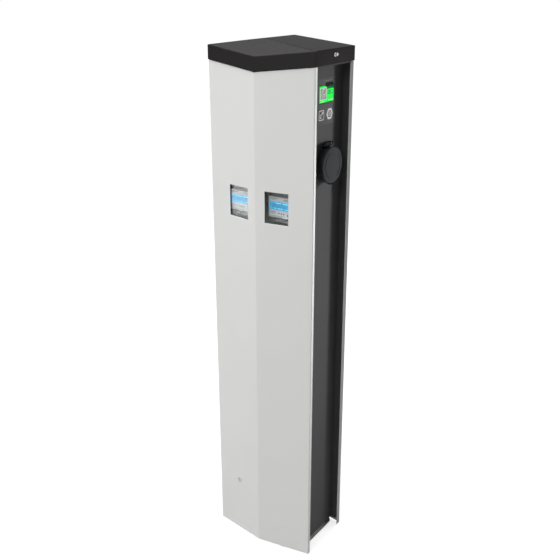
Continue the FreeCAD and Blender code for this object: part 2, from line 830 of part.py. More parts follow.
# ---- mounting plate, wide below and a tongue between the sockets ----
body = newBody("MountingPlate")
plateFoot = "(baseGauge + footHeight + plateLift)"
plateBack = "(plateFront + plateGauge)"
flangeEnd = "(plateFront + plateFlange)"
inner = "(" + inside + " - plateGauge)"
corners = [
    ("-" + inside, "plateFront"), (inside, "plateFront"), (inside, flangeEnd),
    (inner, flangeEnd), (inner, plateBack), ("-" + inner, plateBack),
    ("-" + inner, flangeEnd), ("-" + inside, flangeEnd),
]
plan = sketch(body, "XY_Plane", "PlateProfile", [corners], lift=plateFoot)
pad(body, plan, "PlateHeight", "tongueTop - " + plateFoot)
sides = [
    rectangle("tongueWidth / 2", "postWidth", "plateShoulder", "tongueTop + overrun"),
    rectangle("-postWidth", "-tongueWidth / 2", "plateShoulder", "tongueTop + overrun"),
]
pocket(body, sketch(body, "XZ_Plane", "TongueOutline", sides), "Tongue")
keep("mounting_plate", body)

# ---- top-hat rails ----
rows = ("windowMiddle", "protectionRow", "contactorRow", "supplyRow", "terminalRow")
rails = []
for row in rows:
    body = newBody("DinRail")
    half = "dinHeight / 2"
    web = "dinWeb / 2"
    back = "plateFront"
    front = "(plateFront - dinDepth)"
    profile = [
        (back, row + " + " + web), (front + " + dinGauge", row + " + " + web),
        (front + " + dinGauge", row + " + " + half), (front, row + " + " + half),
        (front, row + " + " + web + " - dinGauge"),
        (back + " - dinGauge", row + " + " + web + " - dinGauge"),
        (back + " - dinGauge", row + " - " + web + " + dinGauge"),
        (front, row + " - " + web + " + dinGauge"), (front, row + " - " + half),
        (front + " + dinGauge", row + " - " + half),
        (front + " + dinGauge", row + " - " + web), (back, row + " - " + web),
    ]
    pad(body, sketch(body, "YZ_Plane", "HatProfile", [profile]), "HatLength", "dinLength",
        midplane=True)
    rails.append(body)
keep("din_rails", group("DinRails", rails))
railFace = "(plateFront - dinDepth)"


def device(name, x, row, width, height, band, front, cuts=()):
    """A modular device clipped on a rail: a band at the front between two lower terminal
    blocks, with the screw heads of the terminals sunk into the blocks."""
    body = newBody(name)
    top = "(" + row + " + " + height + " / 2)"
    bottom = "(" + row + " - " + height + " / 2)"
    step = "(" + front + " + blockStep)"
    upper = "(" + row + " + " + band + " / 2)"
    lower = "(" + row + " - " + band + " / 2)"
    profile = [
        (railFace, bottom), (step, bottom), (step, lower), (front, lower),
        (front, upper), (step, upper), (step, top), (railFace, top),
    ]
    plan = sketch(body, "YZ_Plane", name + "Profile", [profile])
    pad(body, plan, name + "Width", width, midplane=True)
    tie(body, "Placement.Base.x", x)
    tools = list(cuts)
    for z in (top + " - terminalInset", bottom + " + terminalInset"):
        for i in range(4):
            place = "(" + x + ") + " + width + " * " + str((i - 1.5) / 4)
            tools.append(rod(name + "Terminal", "y", (place, step + " - lead", z),
                             "terminalSink + lead", "terminalHead"))
    return cut(name + "Done", body, tools)


# ---- one charging circuit for each side: meter, breaker, contactor ----
for side, sign in (("right", ""), ("left", "-")):
    x = "(" + sign + "deviceAcross)"
    lensLow = "(windowMiddle + displayRaise - displayHeight / 2)"
    lensHigh = "(windowMiddle + displayRaise + displayHeight / 2)"
    lensSpan = (x + " - displayWidth / 2", x + " + displayWidth / 2")
    seat = block("LensSeat", lensSpan, ("meterFront - lead", "meterFront + lensGauge"),
                 (lensLow, lensHigh))
    pressX = "(" + x + " + buttonAcross)"
    pressZ = "(windowMiddle - buttonDrop)"
    pressed = rod("ButtonBore", "y", (pressX, "meterFront - lead", pressZ),
                  "lead + 3 * buttonStroke + buttonRoot", "buttonRadius + buttonFit")
    keep("meter_" + side, device("Meter", x, "windowMiddle", "meterWidth", "meterHeight",
                                 "meterBand", "meterFront", [seat, pressed]))
    lens = block("MeterLens", lensSpan, ("meterFront", "meterFront + lensGauge"),
                 (lensLow, lensHigh))
    keep("meter_display_" + side, group("MeterDisplay", [lens]))
    cap = rod("MeterButton", "y", (pressX, "meterFront - buttonProud", pressZ),
              "buttonProud + buttonStroke + buttonRoot", "buttonRadius")
    keep("meter_button_" + side, group("MeterButtonDone", [cap]))

    leverX = (x + " - leverWidth / 2", x + " + leverWidth / 2")
    axleY = "(deviceFront + leverHub + leverFit)"
    well = block("LeverWell", (leverX[0] + " - leverFit", leverX[1] + " + leverFit"),
                 ("deviceFront - lead", axleY + " + leverHub + leverFit"),
                 ("protectionRow - leverWell / 2", "protectionRow + leverWell / 2"))
    testX = "(" + x + " + testAcross)"
    testZ = "(protectionRow + testRaise)"
    testBore = rod("TestBore", "y", (testX, "deviceFront - lead", testZ),
                   "lead + 3 * buttonStroke + buttonRoot", "buttonRadius + buttonFit")
    keep("breaker_" + side, device("Breaker", x, "protectionRow", "breakerWidth",
                                   "breakerHeight", "deviceBand", "deviceFront",
                                   [well, testBore]))
    hub = rod("LeverHub", "x", (leverX[0], axleY, "protectionRow"), "leverWidth", "leverHub")
    arm = doc.addObject("Part::Box", "LeverArm")
    arm.Placement.Rotation = FreeCAD.Rotation(FreeCAD.Vector(1, 0, 0), 25)
    tie(arm, "Length", "leverWidth")
    tie(arm, "Width", "leverReach")
    tie(arm, "Height", "leverGauge")
    tie(arm, "Placement.Rotation.Angle", "-leverRest * 1deg")
    tie(arm, "Placement.Base.x", leverX[0])
    tie(arm, "Placement.Base.y", axleY + " - leverReach * cos(leverRest * 1deg)"
        " - leverGauge / 2 * sin(leverRest * 1deg)")
    tie(arm, "Placement.Base.z", "protectionRow + leverReach * sin(leverRest * 1deg)"
        " - leverGauge / 2 * cos(leverRest * 1deg)")
    keep("breaker_lever_" + side, joined("BreakerLever", [hub, arm]))
    test = rod("TestButton", "y", (testX, "deviceFront - buttonProud", testZ),
               "buttonProud + buttonStroke + buttonRoot", "buttonRadius")
    keep("test_button_" + side, group("TestButtonDone", [test]))
    keep("contactor_" + side, device("Contactor", x, "contactorRow", "contactorWidth",
                                     "contactorHeight", "deviceBand",
                                     "deviceFront + contactorBack"))

keep("power_supply", device("PowerSupply", "(-deviceAcross)", "supplyRow", "supplyWidth",
                            "supplyHeight", "deviceBand", "deviceFront + supplyBack"))
keep("surge_arrester", device("SurgeArrester", "deviceAcross", "supplyRow", "surgeWidth",
                              "supplyHeight", "deviceBand", "deviceFront + surgeBack"))

# ---- terminals for the supply cable ----
terminals = []
for i in range(-5, 5):
    left = "(" + str(i) + " * terminalPitch)"
    slab = block("Terminal", (left, left + " + terminalWidth"),
                 (railFace + " - terminalDepth", railFace),
                 ("terminalRow - terminalHeight / 2", "terminalRow + terminalHeight / 2"))
    tools = [rod("TerminalScrew", "y",
                 (left + " + terminalPitch / 2", railFace + " - terminalDepth - lead", z),
                 "clampScrewSink + lead", "clampScrewHead")
             for z in ("terminalRow - clampScrewAcross", "terminalRow + clampScrewAcross")]
    terminals.append(cut("TerminalBlock", slab, tools))
keep("terminal_blocks", group("TerminalBlocks", terminals))

# ---- earth bar on two feet, with a row of clamping screws ----
earthTall = ("earthRow - earthHeight / 2", "earthRow + earthHeight / 2")
earthBack = "(plateFront - earthRaise)"
bar = block("EarthBarStrip", ("-earthLength / 2", "earthLength / 2"),
            (earthBack + " - earthGauge", earthBack), earthTall)
feet = [block("EarthFoot", (x, x + " + earthFoot"), (earthBack, "plateFront"), earthTall)
        for x in ("-earthLength / 2 + earthFootInset",
                  "earthLength / 2 - earthFootInset - earthFoot")]
heads = [rod("EarthScrew", "y",
             (str(i / 2) + " * earthPitch", earthBack + " - earthGauge - earthHeadProud", "earthRow"),
             "earthHeadProud + earthGauge / 2", "earthHead")
         for i in range(-7, 8, 2)]
keep("earth_bar", joined("EarthBar", [bar] + feet + heads))

# ---- rail with two clamps that takes the weight of the supply cable ----
body = newBody("ClampRail")
clampLow = "(clampRow - clampHeight / 2)"
clampHigh = "(clampRow + clampHeight / 2)"
clampFront = "(plateFront - clampDepth)"
webFront = "plateFront - clampGauge"
lipBack = clampFront + " + clampGauge"
profile = [
    ("plateFront", clampLow), (clampFront, clampLow), (clampFront, clampLow + " + clampLip"),
    (lipBack, clampLow + " + clampLip"), (lipBack, clampLow + " + clampGauge"),
    (webFront, clampLow + " + clampGauge"), (webFront, clampHigh + " - clampGauge"),
    (lipBack, clampHigh + " - clampGauge"), (lipBack, clampHigh + " - clampLip"),
    (clampFront, clampHigh + " - clampLip"), (clampFront, clampHigh), ("plateFront", clampHigh),
]
pad(body, sketch(body, "YZ_Plane", "ClampRailProfile", [profile]), "ClampRailLength",
    "clampLength", midplane=True)
saddles = []
for x in ("-clampAcross", "clampAcross"):
    yoke = block("Saddle", (x + " - saddleWidth / 2", x + " + saddleWidth / 2"),
                 (clampFront + " - saddleDepth", clampFront),
                 ("clampRow - saddleHeight / 2", "clampRow + saddleHeight / 2"))
    bore = rod("SaddleBore", "z",
               (x, clampFront + " - saddleDepth / 2", "clampRow - saddleHeight / 2 - lead"),
               "saddleHeight + 2 * lead", "cableRadius")
    saddles.append(cut("SaddleDone", yoke, [bore]))
keep("cable_clamps", group("CableClamps", [body] + saddles))

# ---- charge controllers on the tongue, and the antenna on the top plate ----
caseFoot = "(plateShoulder + controllerRaise)"
caseTop = "(" + caseFoot + " + controllerHeight)"
for side, sign in (("right", ""), ("left", "-")):
    middle = sign + "controllerAcross"
    case = block("ControllerCase",
                 (middle + " - controllerWidth / 2", middle + " + controllerWidth / 2"),
                 ("plateFront - controllerDepth", "plateFront"), (caseFoot, caseTop))
    rims = [block("ControllerStep", (middle + " - controllerWidth / 2 - lead",
                                     middle + " + controllerWidth / 2 + lead"),
                  ("plateFront - controllerDepth - lead",
                   "plateFront - controllerDepth + controllerStep"), tall)
            for tall in ((caseFoot + " - lead", caseFoot + " + controllerStep - lead"),
                         (caseTop + " - controllerStep + lead", caseTop + " + lead"))]
    keep("controller_" + side, cut("Controller", case, rims))
antennaFoot = ("0", "antennaBack", plateTop)
puck = rod("AntennaFoot", "z", antennaFoot, "antennaFlangeGauge", "antennaFlange")
dome = rod("AntennaDome", "z", antennaFoot, "antennaHeight", "antennaRadius")
keep("antenna", joined("Antenna", [puck, dome]))


# ---- charging side: operating panel, socket, lid and latch ----
def turned(thing, flip):
    """Half a turn about the middle of the post for the pieces of the left side."""
    if flip:
        thing.Placement = FreeCAD.Placement(
            FreeCAD.Vector(), FreeCAD.Rotation(FreeCAD.Vector(0, 0, 1), 180))
    return thing


readers = []
for side, flip in (("right", False), ("left", True)):
    wide = ("panelShift - panelWidth / 2", "panelShift + panelWidth / 2")
    tall = ("panelMiddle - panelHeight / 2", "panelMiddle + panelHeight / 2")
    screenWide = ("screenShift - screenWidth / 2", "screenShift + screenWidth / 2")
    screenTall = ("screenMiddle - screenHeight / 2", "screenMiddle + screenHeight / 2")
    plate = block("PanelPlate", (face + " - panelGauge", face), wide, tall, flip)
    panelBack = "(" + face + " - panelGauge - panelLipGauge)"
    rim = block("PanelRim", (panelBack, face + " - panelGauge"),
                (wide[0] + " - panelLip", wide[1] + " + panelLip"),
                (tall[0] + " - panelLip", tall[1] + " + panelLip"), flip)
    seat = block("ScreenSeat", (panelBack + " - lead", face + " + lead"),
                 screenWide, screenTall, flip)
    keep("panel_" + side, cut("Panel", joined("PanelParts", [plate, rim]), [seat]))
    glass = block("ScreenGlass", (panelBack, face + " - screenSunk"),
                  screenWide, screenTall, flip)
    case = block("ScreenCase",
                 (panelBack + " - screenModule", panelBack),
                 (screenWide[0] + " - moduleSide", screenWide[1] + " + moduleSide"),
                 (screenTall[0] + " - moduleEnd", screenTall[1] + " + moduleEnd"), flip)
    keep("screen_" + side, joined("Screen", [glass, case]))
    board = block("ReaderBoard",
                  (panelBack + " - readerGauge", panelBack),
                  ("panelShift - readerWidth / 2", "panelShift + readerWidth / 2"),
                  ("readerMiddle - readerHeight / 2", "readerMiddle + readerHeight / 2"),
                  flip)
    readers.append(board)
keep("card_readers", group("CardReaders", readers))

pins = []
springs = []
for side, flip in (("right", False), ("left", True)):
    centre = (face, "0", "socketMiddle")
    hingeX = "(" + face + " + hingeReach)"
    hingeZ = "(socketMiddle + hingeRaise)"
    half = "(hingeSpan / 2)"
    body = newBody("SocketHousing")
    back = "(" + face + " - barrelDepth)"
    profile = [
        (back, "0"), (back, "barrelRadius"), (face, "barrelRadius"), (face, "bezelRadius"),
        (face + " + bezelGauge", "bezelRadius"), (face + " + bezelGauge", "collarRadius"),
        (face + " + collarReach", "collarRadius"), (face + " + collarReach", "mouthRadius"),
        (face + " - mouthFloor", "mouthRadius"), (face + " - mouthFloor", "islandRadius"),
        (face + " - islandTop", "islandRadius"), (face + " - islandTop", "0"),
    ]
    plan = sketch(body, "XY_Plane", "SocketProfile", [profile])
    turning = body.newObject("PartDesign::Revolution", "SocketTurned")
    turning.Profile = plan
    turning.ReferenceAxis = (plan, ["H_Axis"])
    turning.Angle = 360
    tie(body, "Placement.Base.z", "socketMiddle")
    top = block("HingeFoot", (face, face + " + bezelGauge"),
                ("-" + half + " - hingeEar", half + " + hingeEar"),
                ("socketMiddle + bezelRadius - hingeFootLap", hingeZ + " + hingeBarrel"))
    ears = []
    for low, high in ((half, half + " + hingeEar"), ("-" + half + " - hingeEar", "-" + half)):
        ears.append(block("HingeEar", (face, hingeX), (low, high),
                          (hingeZ + " - hingeBarrel", hingeZ + " + hingeBarrel")))
        ears.append(rod("HingeEarEnd", "y", (hingeX, low, hingeZ), "hingeEar", "hingeBarrel"))
    circle = [(90, "powerPin"), (30, "powerPin"), (150, "powerPin"), (0, "0"),
              (-25, "powerPin"), (205, "powerPin"), (-65, "signalPin"), (245, "signalPin")]
    holes = []
    contacts = []
    for angle, radius in circle:
        if radius == "0":
            continue
        y = "(pinCircle * " + str(round(math.cos(math.radians(angle)), 4)) + ")"
        z = "(socketMiddle + pinCircle * " + str(round(math.sin(math.radians(angle)), 4)) + ")"
        holes.append(rod("ContactHole", "x", (face + " - islandTop - pinLength - lead", y, z),
                         "pinLength + 2 * lead", radius + " + pinFit"))
        contacts.append(rod("Contact", "x", (face + " - islandTop - pinLength - lead", y, z),
                            "pinLength + lead - pinSunk", radius))
    earBore = rod("HingeBore", "y", (hingeX, "-" + half + " - hingeEar - lead", hingeZ),
                  "hingeSpan + 2 * hingeEar + 2 * lead", "hingePin + hingePress")
    latchX = "(" + face + " - latchReach)"
    latchBore = rod("LatchWay", "z", (latchX, "0", "socketMiddle + mouthRadius - 3 * lead"),
                    "barrelRadius - mouthRadius + 6 * lead", "latchPin + latchFit")
    full = joined("SocketParts", [body, top] + ears)
    keep("socket_housing_" + side,
         turned(cut("Socket", full, holes + [earBore, latchBore]), flip))
    keep("socket_contacts_" + side, turned(group("SocketContacts", contacts), flip))

    # the latch that holds a plug: its motor box sits on top of the barrel
    boxLow = "(socketMiddle + barrelRadius + latchSeat)"
    motor = block("LatchMotor", (latchX + " - actuatorLength / 2 - actuatorShift",
                                 latchX + " + actuatorLength / 2 - actuatorShift"),
                  ("-actuatorWidth / 2", "actuatorWidth / 2"),
                  (boxLow, boxLow + " + actuatorHeight"))
    motorBore = rod("LatchMotorBore", "z", (latchX, "0", boxLow + " - lead"),
                    "latchTail + actuatorSpare", "latchPin + latchFit")
    keep("latch_motor_" + side, turned(cut("LatchMotorDone", motor, [motorBore]), flip))
    latch = rod("LatchPin", "z", (latchX, "0", "socketMiddle + mouthRadius + latchParked"),
                "barrelRadius - mouthRadius + latchTail", "latchPin")
    keep("latch_pin_" + side, turned(group("LatchPinDone", [latch]), flip))

    # lid: a cup over the bezel, its hinge barrel, its finger tab
    body = newBody("SocketLid")
    lidFoot = "(" + face + " + lidGap)"
    lidFace = "(postWidth / 2)"
    profile = [
        (lidFace + " - lidWall", "0"), (lidFace + " - lidWall", "lidRadius - lidWall"),
        (lidFoot, "lidRadius - lidWall"), (lidFoot, "lidRadius"),
        (lidFace + " - lidChamfer", "lidRadius"), (lidFace, "lidRadius - lidChamfer"),
        (lidFace, "0"),
    ]
    plan = sketch(body, "XY_Plane", "LidProfile", [profile])
    turning = body.newObject("PartDesign::Revolution", "LidTurned")
    turning.Profile = plan
    turning.ReferenceAxis = (plan, ["H_Axis"])
    turning.Angle = 360
    tie(body, "Placement.Base.z", "socketMiddle")
    tab = block("LidTab", (lidFace + " - lidTabDepth", lidFace + " - lidChamfer"),
                ("-lidTabWidth / 2", "lidTabWidth / 2"),
                ("socketMiddle - lidRadius - lidTabReach", "socketMiddle - lidRadius + armUnder"))
    barrelSpan = ("-" + half + " + barrelClear", half + " - springRoom")
    arm = block("LidArm", (hingeX + " - armUnder", lidFace + " - lidWall"), barrelSpan,
                ("socketMiddle + lidRadius - armUnder", hingeZ))
    barrel = rod("LidBarrel", "y", (hingeX, barrelSpan[0], hingeZ),
                 "hingeSpan - barrelClear - springRoom", "hingeBarrel")
    bore = rod("LidBore", "y", (hingeX, "-" + half, hingeZ), "hingeSpan",
               "hingePin + hingeRun")
    keep("socket_lid_" + side,
         turned(cut("Lid", joined("LidParts", [body, tab, arm, barrel]), [bore]), flip))
    lip = cut("LidLip",
              rod("LipOutside", "x", (lidFace + " - lidWall - lipGauge", "0", "socketMiddle"),
                  "lipGauge", "collarRadius + lipMargin"),
              [rod("LipInside", "x",
                   (lidFace + " - lidWall - lipGauge - lead", "0", "socketMiddle"),
                   "lipGauge + 2 * lead", "mouthRadius - lipMargin")])
    keep("lid_gasket_" + side, turned(lip, flip))

    pins.append(turned(group("HingePins", [
        rod("HingePinRod", "y", (hingeX, "-" + half + " - hingeEar", hingeZ),
            "hingeSpan + 2 * hingeEar", "hingePin")]), flip))

    # torsion spring beside the hinge barrel, a round wire wound on the pin
    wire = sheet.get("springWire")
    count = int(sheet.get("springTurns"))
    pitch = sheet.get("springPitch")
    mean = sheet.get("hingePin") + wire
    coil = Part.makeHelix(pitch, pitch * count, mean)
    section = Part.Wire(Part.makeCircle(wire / 2, FreeCAD.Vector(mean, 0, 0),
                                        FreeCAD.Vector(0, 1, 0)))
    spring = doc.addObject("Part::Feature", "LidSpring")
    spring.Shape = Part.Wire(coil).makePipeShell([section], True, True)
    spring.Placement = FreeCAD.Placement(FreeCAD.Vector(), turns["y"])
    hingeAt = sheet.get("postWidth") / 2 - sheet.get("recessDepth") + sheet.get("hingeReach")
    offset = (sheet.get("hingeSpan") - sheet.get("springRoom") - pitch * count) / 2
    spring.Placement.Base = FreeCAD.Vector(
        hingeAt, offset, sheet.get("socketMiddle") + sheet.get("hingeRaise"))
    springs.append(turned(group("LidSpringDone", [spring]), flip))
keep("lid_hinge_pins", group("LidHingePins", pins))
keep("lid_springs", group("LidSprings", springs))

doc.recompute()

faults = [o.Name + " " + " ".join(o.State) for o in doc.Objects
          if "Invalid" in o.State or "Error" in o.State]
if faults:
    raise RuntimeError("failed objects: " + ", ".join(faults))
for label, thing in nodes.items():
    shape = thing.Shape
    if shape.isNull() or not shape.isValid() or not shape.Solids:
        raise RuntimeError("no valid solid in " + label)

os.makedirs("parts", exist_ok=True)
for label, thing in nodes.items():
    thing.Shape.exportStep("parts/" + label + ".step")
print(len(nodes), "nodes,", sum(len(n.Shape.Solids) for n in nodes.values()), "solids")
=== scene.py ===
import math

import bpy
import numpy as np
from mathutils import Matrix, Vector


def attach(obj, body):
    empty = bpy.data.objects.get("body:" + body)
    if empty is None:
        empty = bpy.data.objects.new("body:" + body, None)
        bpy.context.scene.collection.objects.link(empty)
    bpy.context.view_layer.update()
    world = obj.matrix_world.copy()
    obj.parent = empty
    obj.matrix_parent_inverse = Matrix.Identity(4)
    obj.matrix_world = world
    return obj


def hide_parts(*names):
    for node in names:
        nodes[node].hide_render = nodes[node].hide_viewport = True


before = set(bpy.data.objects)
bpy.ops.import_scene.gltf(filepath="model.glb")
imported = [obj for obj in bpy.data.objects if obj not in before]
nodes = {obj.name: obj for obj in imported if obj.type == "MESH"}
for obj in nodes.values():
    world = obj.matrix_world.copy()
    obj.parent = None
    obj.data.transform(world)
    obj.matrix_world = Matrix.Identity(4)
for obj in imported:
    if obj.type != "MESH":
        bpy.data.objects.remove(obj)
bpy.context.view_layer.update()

mm = 0.001
sides = {"right": 1, "left": -1}


def meshPiece(name, points, faces, materials, smooth=True, slots=None):
    # points (n, 3) in metres; faces is a list of index arrays, one array for each number of corners
    mesh = bpy.data.meshes.new(name)
    rows = [face for block in faces for face in np.asarray(block).tolist()]
    mesh.from_pydata(np.asarray(points, float).reshape(-1, 3).tolist(), [], rows)
    mesh.polygons.foreach_set("use_smooth", np.full(len(mesh.polygons), smooth))
    for material in materials:
        mesh.materials.append(material)
    if slots is not None:
        mesh.polygons.foreach_set("material_index", np.asarray(slots, np.int32))
    mesh.update()
    piece = bpy.data.objects.new(name, mesh)
    bpy.context.scene.collection.objects.link(piece)
    return piece


def gridFaces(rows, columns, closeRows=False, closeColumns=False, start=0):
    # quads between neighbours of a grid whose point (i, j) has the number start + i * columns + j
    i = np.arange(rows if closeRows else rows - 1)
    j = np.arange(columns if closeColumns else columns - 1)
    i, j = (a.ravel() for a in np.meshgrid(i, j, indexing="ij"))
    k, m = (i + 1) % rows, (j + 1) % columns
    return start + np.stack([i * columns + j, i * columns + m, k * columns + m, k * columns + j], 1)


def outward(points, faces):
    # a closed shape's volume is a sixth of the sum of a . (b x c) over its faces cut into triangles
    # at their first corner; where that comes out negative, every face is turned round
    points = np.asarray(points, float).reshape(-1, 3)
    faces = [np.asarray(block) for block in faces]
    volume = 0.0
    for block in faces:
        a, b, c = points[block[:, :1]], points[block[:, 1:-1]], points[block[:, 2:]]
        volume += (a * np.cross(b, c)).sum()
    return points, faces if volume > 0 else [block[:, ::-1] for block in faces]


def merged(parts):
    # joins (points, faces) pairs of closed shapes into one list of points and one of face arrays
    points, faces, start = [], [], 0
    for somePoints, someFaces in (outward(*part) for part in parts):
        points.append(somePoints)
        faces += [block + start for block in someFaces]
        start += len(somePoints)
    return np.concatenate(points), faces


def turnedShape(profile, axis, centre, steps=64):
    # profile rows are (distance along the axis, radius), turned about the axis through the centre;
    # a row of radius 0 closes the shape
    profile = np.asarray(profile, float)
    angle = np.linspace(0, 2 * np.pi, steps, endpoint=False)
    along = np.repeat(profile[:, :1], steps, 1)
    across = profile[:, 1:] * np.cos(angle)
    over = profile[:, 1:] * np.sin(angle)
    order = {"x": (along, across, over), "y": (over, along, across), "z": (across, over, along)}
    points = np.stack(order[axis], 2) + np.asarray(centre, float)
    return points.reshape(-1, 3), [gridFaces(len(profile), steps, closeColumns=True)]


def extruded(outline, low, high, axis="x"):
    # a closed outline of points carried from low to high along the axis, with both ends closed;
    # the outline's two values are the other two axes in order
    outline = np.asarray(outline, float)
    count = len(outline)
    ends = np.repeat([low, high], count)
    u = np.tile(outline[:, 0], 2)
    v = np.tile(outline[:, 1], 2)
    order = {"x": (ends, u, v), "y": (u, ends, v), "z": (u, v, ends)}
    ring = np.arange(count)
    walls = gridFaces(2, count, closeColumns=True)
    return np.stack(order[axis], 1), [walls, ring[None, ::-1], ring[None, :] + count]


def boxes(lows, highs):
    # many boxes at once from their low and high corners
    lows, highs = np.atleast_2d(lows).astype(float), np.atleast_2d(highs).astype(float)
    pick = np.array([[x, y, z] for x in (0, 1) for y in (0, 1) for z in (0, 1)])
    points = lows[:, None] * (1 - pick) + highs[:, None] * pick
    quads = np.array([[0, 1, 3, 2], [4, 6, 7, 5], [0, 4, 5, 1],
                      [2, 3, 7, 6], [0, 2, 6, 4], [1, 5, 7, 3]])
    faces = (np.arange(len(lows))[:, None, None] * 8 + quads).reshape(-1, 4)
    return points.reshape(-1, 3), [faces]


def bentLine(points, radii, steps=6):
    # a run of straight lines with each inner corner rounded: the arc starts radius * tan(turn / 2)
    # before the corner and turns about a centre one radius to the side
    points = np.asarray(points, float)
    line = [points[:1]]
    for before, here, after, radius in zip(points, points[1:], points[2:], radii):
        a = (here - before) / np.linalg.norm(here - before)
        b = (after - here) / np.linalg.norm(after - here)
        turn = math.atan2(a[0] * b[1] - a[1] * b[0], a @ b)
        if radius <= 0 or abs(turn) < 1e-6:
            line.append(here[None])
            continue
        side = np.array([-a[1], a[0]]) * math.copysign(1, turn)
        first = here - a * radius * math.tan(abs(turn) / 2)
        angle = np.linspace(0, abs(turn), steps + 1)[:, None]
        line.append(first + a * radius * np.sin(angle) + side * radius * (1 - np.cos(angle)))
    line.append(points[-1:])
    return np.concatenate(line)


def finished(piece, body, slot, *replaced):
    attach(piece, body)
    if replaced:
        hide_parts(*replaced)
    return piece


def soften(piece, width, angle=35, segments=2):
    # rounds the sharp edges and keeps the flat faces flat in the shading
    bevel = piece.modifiers.new("edges", "BEVEL")
    bevel.width = width
    bevel.segments = segments
    bevel.limit_method = "ANGLE"
    bevel.angle_limit = math.radians(angle)
    normals = piece.modifiers.new("shading", "WEIGHTED_NORMAL")
    normals.keep_sharp = False
    return piece


def weld(piece, distance=1e-6):
    join = piece.modifiers.new("weld", "WELD")
    join.merge_threshold = distance
    return piece


def newGroup(name, inputs, outputs):
    group = bpy.data.node_groups.new(name, "ShaderNodeTree")
    for label, value in inputs:
        socket = group.interface.new_socket(label, in_out="INPUT", socket_type="NodeSocketFloat")
        socket.default_value = value
    for label in outputs:
        group.interface.new_socket(label, in_out="OUTPUT", socket_type="NodeSocketFloat")
    return group, group.nodes.new("NodeGroupInput"), group.nodes.new("NodeGroupOutput")


def noise(tree, vector, scale, detail, stretch=None):
    if stretch:
        mapping = tree.nodes.new("ShaderNodeMapping")
        mapping.inputs["Scale"].default_value = stretch
        tree.links.new(vector, mapping.inputs["Vector"])
        vector = mapping.outputs["Vector"]
    node = tree.nodes.new("ShaderNodeTexNoise")
    node.inputs["Detail"].default_value = detail
    tree.links.new(vector, node.inputs["Vector"])
    if isinstance(scale, (int, float)):
        node.inputs["Scale"].default_value = scale
    else:
        tree.links.new(scale, node.inputs["Scale"])
    return node.outputs["Fac"]


def maths(tree, operation, a, b=None):
    node = tree.nodes.new("ShaderNodeMath")
    node.operation = operation
    for socket, value in zip(node.inputs, (a, b)):
        if value is None:
            continue
        if isinstance(value, (int, float)):
            socket.default_value = value
        else:
            tree.links.new(value, socket)
    return node.outputs[0]


def spread(tree, value, fromLow, fromHigh, toLow=0.0, toHigh=1.0):
    node = tree.nodes.new("ShaderNodeMapRange")
    for label, number in (("From Min", fromLow), ("From Max", fromHigh),
                          ("To Min", toLow), ("To Max", toHigh)):
        node.inputs[label].default_value = number
    tree.links.new(value, node.inputs["Value"])
    return node.outputs["Result"]


# grain: the orange peel of a powder coat or the spark texture of a mould, fine over coarse
grainGroup, start, end = newGroup("surfaceGrain", [("Fine", 1500), ("Coarse", 300)],
                                  ["Height", "Speckle"])
place = grainGroup.nodes.new("ShaderNodeTexCoord").outputs["Object"]
fine = noise(grainGroup, place, start.outputs["Fine"], 2)
coarse = noise(grainGroup, place, start.outputs["Coarse"], 1)
both = maths(grainGroup, "ADD", maths(grainGroup, "MULTIPLY", fine, 0.6),
             maths(grainGroup, "MULTIPLY", coarse, 0.4))
grainGroup.links.new(both, end.inputs["Height"])
grainGroup.links.new(spread(grainGroup, fine, 0.35, 0.65), end.inputs["Speckle"])

# weathering: slow clouds over the whole surface, rain streaks down it and splash near the ground
weatherGroup, start, end = newGroup("weathering", [("Cloud Scale", 5), ("Splash Height", 0.25)],
                                    ["Clouds", "Streaks", "Splash"])
place = weatherGroup.nodes.new("ShaderNodeTexCoord").outputs["Object"]
clouds = noise(weatherGroup, place, start.outputs["Cloud Scale"], 3)
weatherGroup.links.new(spread(weatherGroup, clouds, 0.3, 0.7), end.inputs["Clouds"])
streaks = noise(weatherGroup, place, 1.0, 4, (70, 70, 1.5))  # drawn out along Z
weatherGroup.links.new(spread(weatherGroup, streaks, 0.45, 0.8), end.inputs["Streaks"])
split = weatherGroup.nodes.new("ShaderNodeSeparateXYZ")
weatherGroup.links.new(place, split.inputs[0])
height = maths(weatherGroup, "DIVIDE", split.outputs["Z"], start.outputs["Splash Height"])
nearGround = maths(weatherGroup, "MAXIMUM", maths(weatherGroup, "SUBTRACT", 1.0, height), 0.0)
nearGround = maths(weatherGroup, "MULTIPLY", nearGround, nearGround)
drops = spread(weatherGroup, noise(weatherGroup, place, 60, 4), 0.35, 0.7)
weatherGroup.links.new(maths(weatherGroup, "MULTIPLY", nearGround, drops), end.inputs["Splash"])

# brushing: long fine lines along one axis, for drawn and rolled metal
brushGroup, start, end = newGroup("brushing", [("Fineness", 1)], ["Lines", "Spangle"])
place = brushGroup.nodes.new("ShaderNodeTexCoord").outputs["Object"]
lines = noise(brushGroup, place, start.outputs["Fineness"], 3, (1800, 1800, 25))
brushGroup.links.new(lines, end.inputs["Lines"])
crystals = brushGroup.nodes.new("ShaderNodeTexVoronoi")
crystals.inputs["Scale"].default_value = 90
brushGroup.links.new(place, crystals.inputs["Vector"])
grey = brushGroup.nodes.new("ShaderNodeRGBToBW")
brushGroup.links.new(crystals.outputs["Color"], grey.inputs[0])
brushGroup.links.new(grey.outputs[0], end.inputs["Spangle"])


def useGroup(tree, group, **values):
    node = tree.nodes.new("ShaderNodeGroup")
    node.node_tree = group
    for label, value in values.items():
        node.inputs[label.replace("_", " ")].default_value = value
    return node


def blended(tree, factor, a, b):
    # colour a where the factor is 0 and b where it is 1; a may be a colour or a socket
    node = tree.nodes.new("ShaderNodeMix")
    node.data_type = "RGBA"
    tree.links.new(factor, node.inputs[0])
    for socket, value in ((node.inputs[6], a), (node.inputs[7], b)):
        if isinstance(value, tuple):
            socket.default_value = (*value, 1)
        else:
            tree.links.new(value, socket)
    return node.outputs[2]


